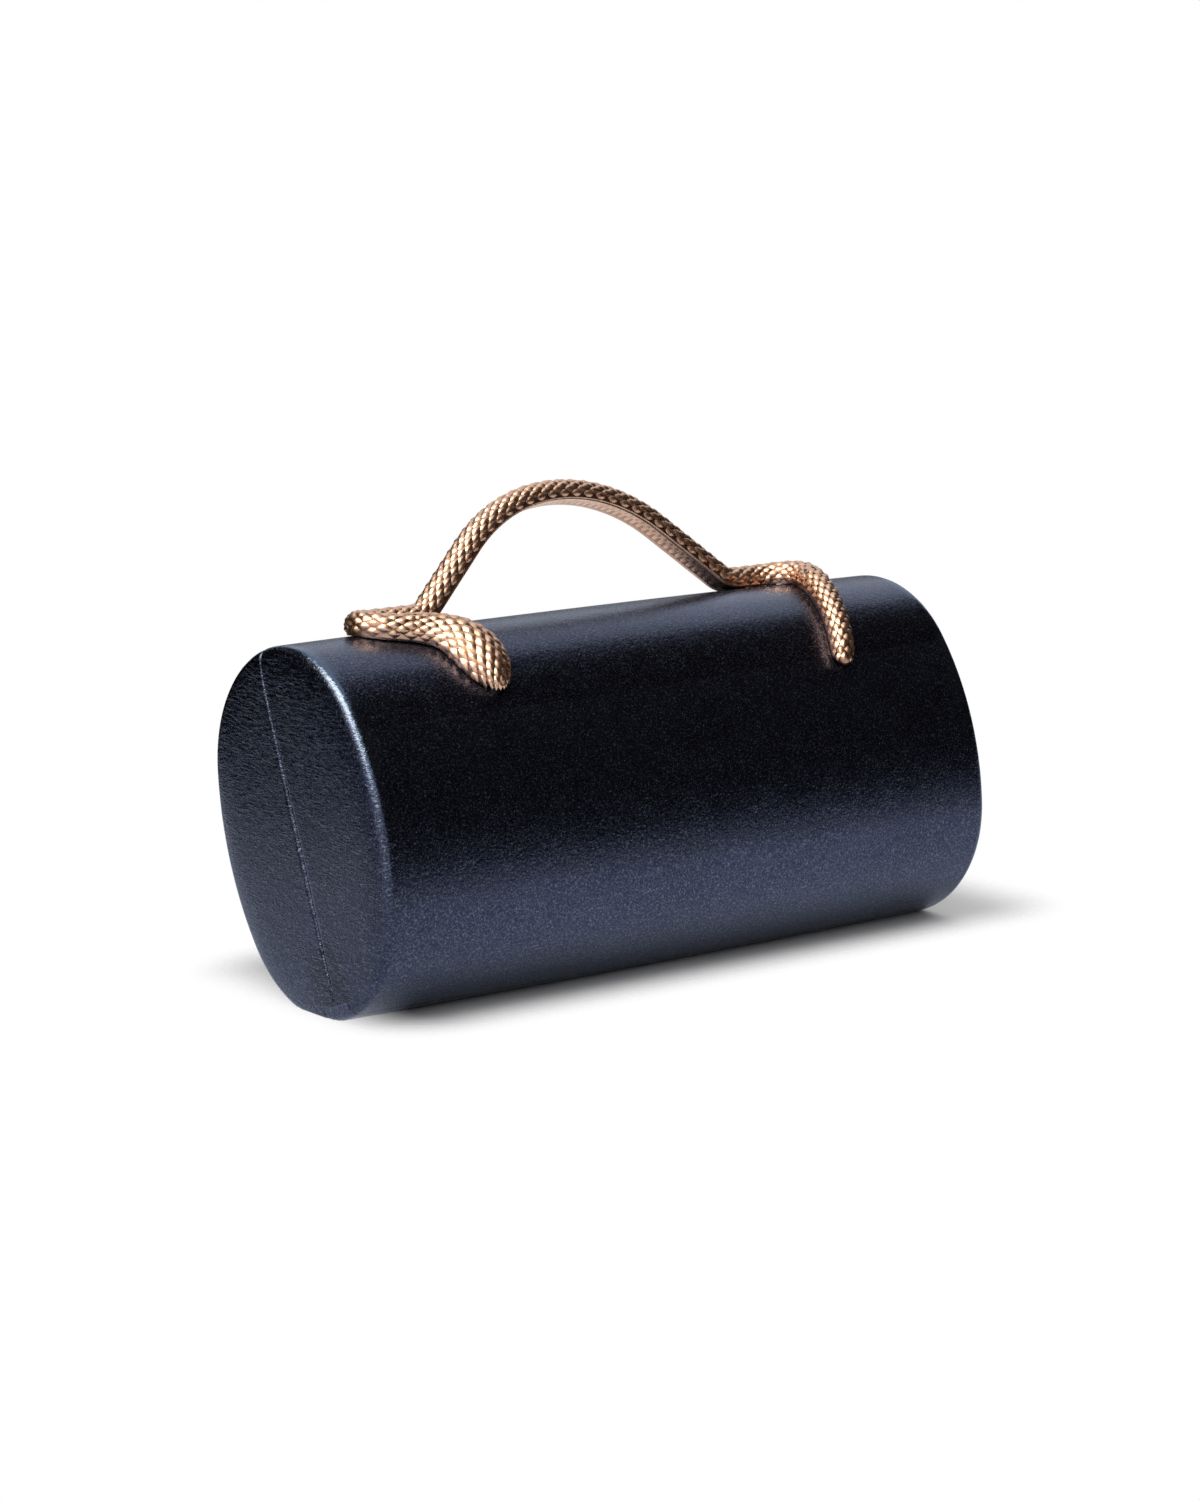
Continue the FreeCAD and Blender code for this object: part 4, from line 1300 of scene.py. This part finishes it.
def coat_tree(name: str, tile: Tile) -> bpy.types.NodeTree:
    """Makes the tree that sets a raised plate on every point of a mesh.

    Args:
        name: Name of the tree.
        tile: Outline of the plate.

    Returns:
        The tree, with inputs for the plate's tilt, its foot under the surface and its finish.
    """
    inputs = {"Geometry": SHAPE, "Tilt": FLOAT, "Foot": FLOAT, "Finish": "NodeSocketMaterial"}
    board, start, end = new_group(name, "GeometryNodeTree", inputs, {"Geometry": SHAPE})
    points, rim_width, fall_power = 5, 0.001, 2.0
    end_power = fall_power if tile is Tile.DIAMOND else 6.0
    sheet = board.out("GeometryNodeMeshGrid", {"Size X": 1.0, "Size Y": 1.0,
                                               "Vertices X": points, "Vertices Y": points})
    x, y, _ = board.add("ShaderNodeSeparateXYZ", {0: board.out("GeometryNodeInputPosition")}).outputs
    falls = []
    for side, power in ((x, end_power), (y, fall_power)):
        way = board.math("ABSOLUTE", board.math("MULTIPLY", side, 2.0))
        falls.append(board.math("SUBTRACT", 1.0, board.math("POWER", way, power)))
    crown = board.math("MULTIPLY", *falls)
    across, along = x, y
    if tile is Tile.DIAMOND:
        across, along = (board.math("MULTIPLY", board.math(way, x, y), 0.5) for way in ("SUBTRACT", "ADD"))
    under = board.math("MULTIPLY_ADD", along, start["Tilt"], start["Foot"])
    kept = board.out("GeometryNodeStoreNamedAttribute", {"Geometry": sheet, "Name": "crown", "Value": crown},
                     data_type="FLOAT", domain="POINT")
    back, foot = (board.out("GeometryNodeSetPosition", {"Geometry": kept, "Position": board.out(
        "ShaderNodeCombineXYZ", {0: across, 1: along, 2: level})})
        for level in (board.math("ADD", crown, under), under))
    split = board.out("GeometryNodeTriangulate", {"Mesh": foot}, quad_method="FIXED_ALTERNATE")
    both = board.add("GeometryNodeJoinGeometry", {"Geometry": back})
    board.feed(both, {"Geometry": board.out("GeometryNodeFlipFaces", {"Mesh": split})})
    plate = board.out("GeometryNodeMergeByDistance", {"Geometry": both.outputs[0], "Distance": rim_width})
    normal, forward, size = (board.out("GeometryNodeInputNamedAttribute", {"Name": f"scale_{key}"},
                                       data_type="FLOAT_VECTOR") for key in ("normal", "forward", "size"))
    turn = board.out("FunctionNodeAlignRotationToVector", {"Vector": normal}, axis="Z")
    turn = board.out("FunctionNodeAlignRotationToVector", {"Rotation": turn, "Vector": forward},
                     axis="Y", pivot_axis="Z")
    shape = board.out("GeometryNodeInstanceOnPoints", {"Points": start["Geometry"], "Instance": plate,
                                                       "Rotation": turn, "Scale": size})
    shape = board.out("GeometryNodeRealizeInstances", {"Geometry": shape})
    shape = board.out("GeometryNodeSetShadeSmooth", {"Geometry": shape})
    height = board.out("GeometryNodeInputNamedAttribute", {"Name": "crown"}, data_type="FLOAT")
    rim = board.out("FunctionNodeCompare", {0: height, 1: rim_width}, operation="LESS_THAN")
    shape = board.out("GeometryNodeSetShadeSmooth", {"Geometry": shape, "Selection": rim,
                                                     "Shade Smooth": False}, domain="EDGE")
    shape = board.out("GeometryNodeSetMaterial", {"Geometry": shape, "Material": start["Finish"]})
    board.feed(end, {"Geometry": shape})
    return board.tree


@dataclass
class InnerWorks:
    """The rigid parts inside, which keep their own solids and get their finishes here."""

    shell: MouldedFinish = MouldedFinish()
    hinge: MetalFinish = MetalFinish("hinge_steel", (0.60, 0.58, 0.55), (0.42, 0.41, 0.39), (0.28, 0.42))
    rivet: MetalFinish = MetalFinish("rivet_brass", (0.74, 0.57, 0.33), (0.55, 0.40, 0.22), (0.25, 0.38))
    magnet: MetalFinish = MetalFinish("magnet_plate", (0.55, 0.55, 0.57), (0.45, 0.45, 0.47), (0.12, 0.22))
    fixing: MetalFinish = MetalFinish("fixing_steel", (0.58, 0.58, 0.59), (0.40, 0.40, 0.41), (0.30, 0.45))

    def dress(self) -> list[str]:
        """Gives each solid its finish.

        Returns:
            Names of the solids.
        """
        dressed = {self.shell: ["back_core", "front_core"],
                   self.hinge: ["back_hinge_leaf", "front_hinge_leaf", "hinge_pin"],
                   self.rivet: ["back_hinge_rivets", "front_hinge_rivets"],
                   self.magnet: ["back_magnets", "front_magnets"],
                   self.fixing: ["handle_plate_left", "handle_plate_right", "handle_screws"]}
        for finish, nodes in dressed.items():
            material = finish.build()
            for node in nodes:
                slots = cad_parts[node].data.materials
                slots.clear()
                slots.append(material)
        return sum(dressed.values(), [])


@dataclass
class Studio:
    """Pale grey floor with a painted shadow, soft light and the camera."""

    camera_place: Triple = (-0.6533, -0.8356, 0.2638)
    camera_way: Triple = (0.6022, 0.7751, -0.1912)
    lens: float = 94.0
    sensor: float = 36.0
    nearest: float = 0.01
    lamp_place: Triple = (-0.86, -0.08, 1.22)
    lamp_aim: Triple = (0.0, 0.0, 0.06)
    lamp_tint: Colour = (1.0, 0.84, 0.62)
    lamp_size: float = 1.15
    lamp_power: float = 46.0
    sky: float = 1.50
    floor_half: float = 3.0
    floor_rough: float = 0.8
    # a grey floor, so that the patch of it that shows paints shadow
    floor_tones: tuple[Colour, Colour] = ((0.71, 0.71, 0.715), (0.73, 0.73, 0.73))
    # place, shape and fade of the floor's painted shadow patch
    shadow_middle: Triple = (0.019, 0.010, 0.0)
    shadow_draw: Triple = (0.80, 1.0, 1.0)
    shadow_half: Triple = (0.076, 0.031, 0.0)
    shadow_fade: Span = (0.003, 0.028)
    cloth_foot: float = 0.002
    cloth_steps: int = 24
    cloth_rough: float = 0.9
    cloth_tones: float = 1.2
    tone_scale: float = 3.0

    def build(self) -> None:
        """Makes the world, the floor, the cloths, the lamp and the camera."""
        self.build_world()
        self.build_floor()
        self.build_cloth("front_cloth", (-110.0, 17.0), (0.60, 1.45), (0.060, 0.032, 0.014))
        self.build_cloth("side_cloth", (92.0, 166.0), (0.29, 0.42), (0.010, 0.010, 0.014))
        self.build_cloth("back_cloth", (17.0, 92.0), (0.62, 0.26), (0.79, 0.79, 0.80))
        self.build_lamp()
        self.build_camera()
        bpy.context.scene.view_settings.view_transform = "Standard"

    def build_world(self) -> None:
        """Makes a pale sky, brighter overhead and plain white where the camera or a reflection sees it."""
        world = bpy.data.worlds.new("studio")
        world.use_nodes = True
        bpy.context.scene.world = world
        board = NodeBoard(world.node_tree)
        path = board.add("ShaderNodeLightPath").outputs
        seen = board.math("MAXIMUM", path["Is Camera Ray"], board.math(
            "MAXIMUM", path["Is Glossy Ray"], path["Is Transmission Ray"]))
        way = board.add("ShaderNodeSeparateXYZ", {0: board.add("ShaderNodeTexCoord").outputs["Generated"]})
        sky = board.remap(way.outputs["Z"], 0.0, 1.0, 0.0, self.sky)
        unseen = board.math("MULTIPLY", sky, board.math("SUBTRACT", 1.0, seen))
        board.feed(world.node_tree.nodes["Background"], {"Color": (1.0, 1.0, 1.0, 1.0),
                                                         "Strength": board.math("MAXIMUM", unseen, seen)})

    def hang(self, name: str, corners: list, faces: list, material: Material) -> Piece:
        """Makes a sheet that isn't part of the bag.

        Args:
            name: Name of the sheet.
            corners: Its corners.
            faces: Corner numbers of its faces.
            material: Its finish.

        Returns:
            The sheet's object.
        """
        mesh = bpy.data.meshes.new(name)
        mesh.from_pydata(corners, [], faces)
        mesh.materials.append(material)
        sheet = add_object(name, mesh)
        return sheet

    def build_floor(self) -> None:
        """Makes the floor: a grey patch round the bag, shaped and faded like its shadow against the white
        sky, which paints shadow and also takes the real one.
        """
        dress = Dresser("pale_floor", Specular_IOR_Level=0.1)
        # painted shadow: the grey floor shows only in a patch shaped like the bag's shadow, fading into the
        # white sky
        off = dress.vector("SUBTRACT", dress.place, self.shadow_middle).outputs[0]
        off = dress.vector("ABSOLUTE", dress.vector("MULTIPLY", off, self.shadow_draw).outputs[0]).outputs[0]
        past = dress.vector("MAXIMUM", dress.vector("SUBTRACT", off, self.shadow_half).outputs[0]).outputs[0]
        far = dress.vector("LENGTH", past).outputs["Value"]
        fade = dress.remap(far, *self.shadow_fade, 1.0, 0.0, interpolation_type="SMOOTHSTEP")
        dress.feed(dress.surface, {"Alpha": fade})
        tone = dress.vary(self.tone_scale)
        finish = dress.finish(dress.mix(tone, *self.floor_tones), self.floor_rough, tone, depth=0.0)
        half = self.floor_half
        self.hang("floor", [(-half, -half, 0), (half, -half, 0), (half, half, 0), (-half, half, 0)],
                  [(0, 1, 2, 3)], finish)

    def build_cloth(self, name: str, span: Span, size: Span, tint: Colour) -> None:
        """Makes a curved cloth off to one side, which only reflections show.

        Args:
            name: Name of the cloth.
            span: Directions of its two ends in degrees, from the bag's right end to the back.
            size: How far off it hangs, and its height.
            tint: Its colour.
        """
        row = self.cloth_steps + 1
        turns = np.radians(np.linspace(*span, row))
        ring = np.stack([np.cos(turns), np.sin(turns)], -1) * size[0]
        corners = np.concatenate([np.insert(ring, 2, level, 1) for level in (self.cloth_foot, size[1])])
        faces = [(spot, spot + 1, spot + row + 1, spot + row) for spot in range(self.cloth_steps)]
        dress = Dresser(name, Specular_IOR_Level=0.0)
        tone = dress.vary(self.tone_scale)
        colour = dress.mix(tone, tint, tuple(self.cloth_tones * part for part in tint))
        finish = dress.finish(colour, self.cloth_rough, tone, depth=0.0)
        cloth = self.hang(name, corners.tolist(), faces, finish)
        cloth.visible_camera = cloth.visible_diffuse = cloth.visible_shadow = False

    @staticmethod
    def aim(name: str, data: bpy.types.ID, place: Triple, way: Triple | Vector) -> Piece:
        """Puts a lamp or a camera in its place.

        Args:
            name: Name of the object.
            data: The lamp or camera.
            place: Where it stands.
            way: Which way it looks.

        Returns:
            The object.
        """
        holder = add_object(name, data)
        holder.location = place
        holder.rotation_euler = Vector(way).to_track_quat("-Z", "Y").to_euler()
        return holder

    def build_lamp(self) -> None:
        """Makes a soft, slightly warm square lamp that looks at the bag."""
        lamp = bpy.data.lights.new("side_light", "AREA")
        lamp.size, lamp.energy, lamp.color = self.lamp_size, self.lamp_power, self.lamp_tint
        way = Vector(self.lamp_aim) - Vector(self.lamp_place)
        self.aim("side_light", lamp, self.lamp_place, way).visible_diffuse = False

    def build_camera(self) -> None:
        """Makes the camera at the photograph's angle."""
        camera = bpy.data.cameras.new("camera")
        camera.lens, camera.sensor_width, camera.clip_start = self.lens, self.sensor, self.nearest
        bpy.context.scene.camera = self.aim("camera", camera, self.camera_place, self.camera_way)


def main() -> None:
    """Builds the bag piece by piece, then the studio."""
    logging.basicConfig(level=logging.INFO, format="%(name)s: %(message)s")
    cover = LeatherCover(LeatherFinish().build())
    lining = PaddedLining(SuedeFinish().build())
    snake = SnakeHandle(CastGoldFinish().build())
    pieces = [*map(cover.build_skin, Half), cover.build_strip(), *map(lining.build, Half), snake.build_body(),
              snake.build_coat("snake_scales", Tile.DIAMOND, snake.scale_spots()),
              snake.build_coat("snake_belly", Tile.BAND, snake.plate_spots())]
    for node in InnerWorks().dress():
        log.info("dressed solid %s", node)
    for piece in pieces:
        log.info("piece %s: %d faces", piece.name, len(piece.data.polygons))
    Studio().build()


if __name__ == "__main__":
    main()
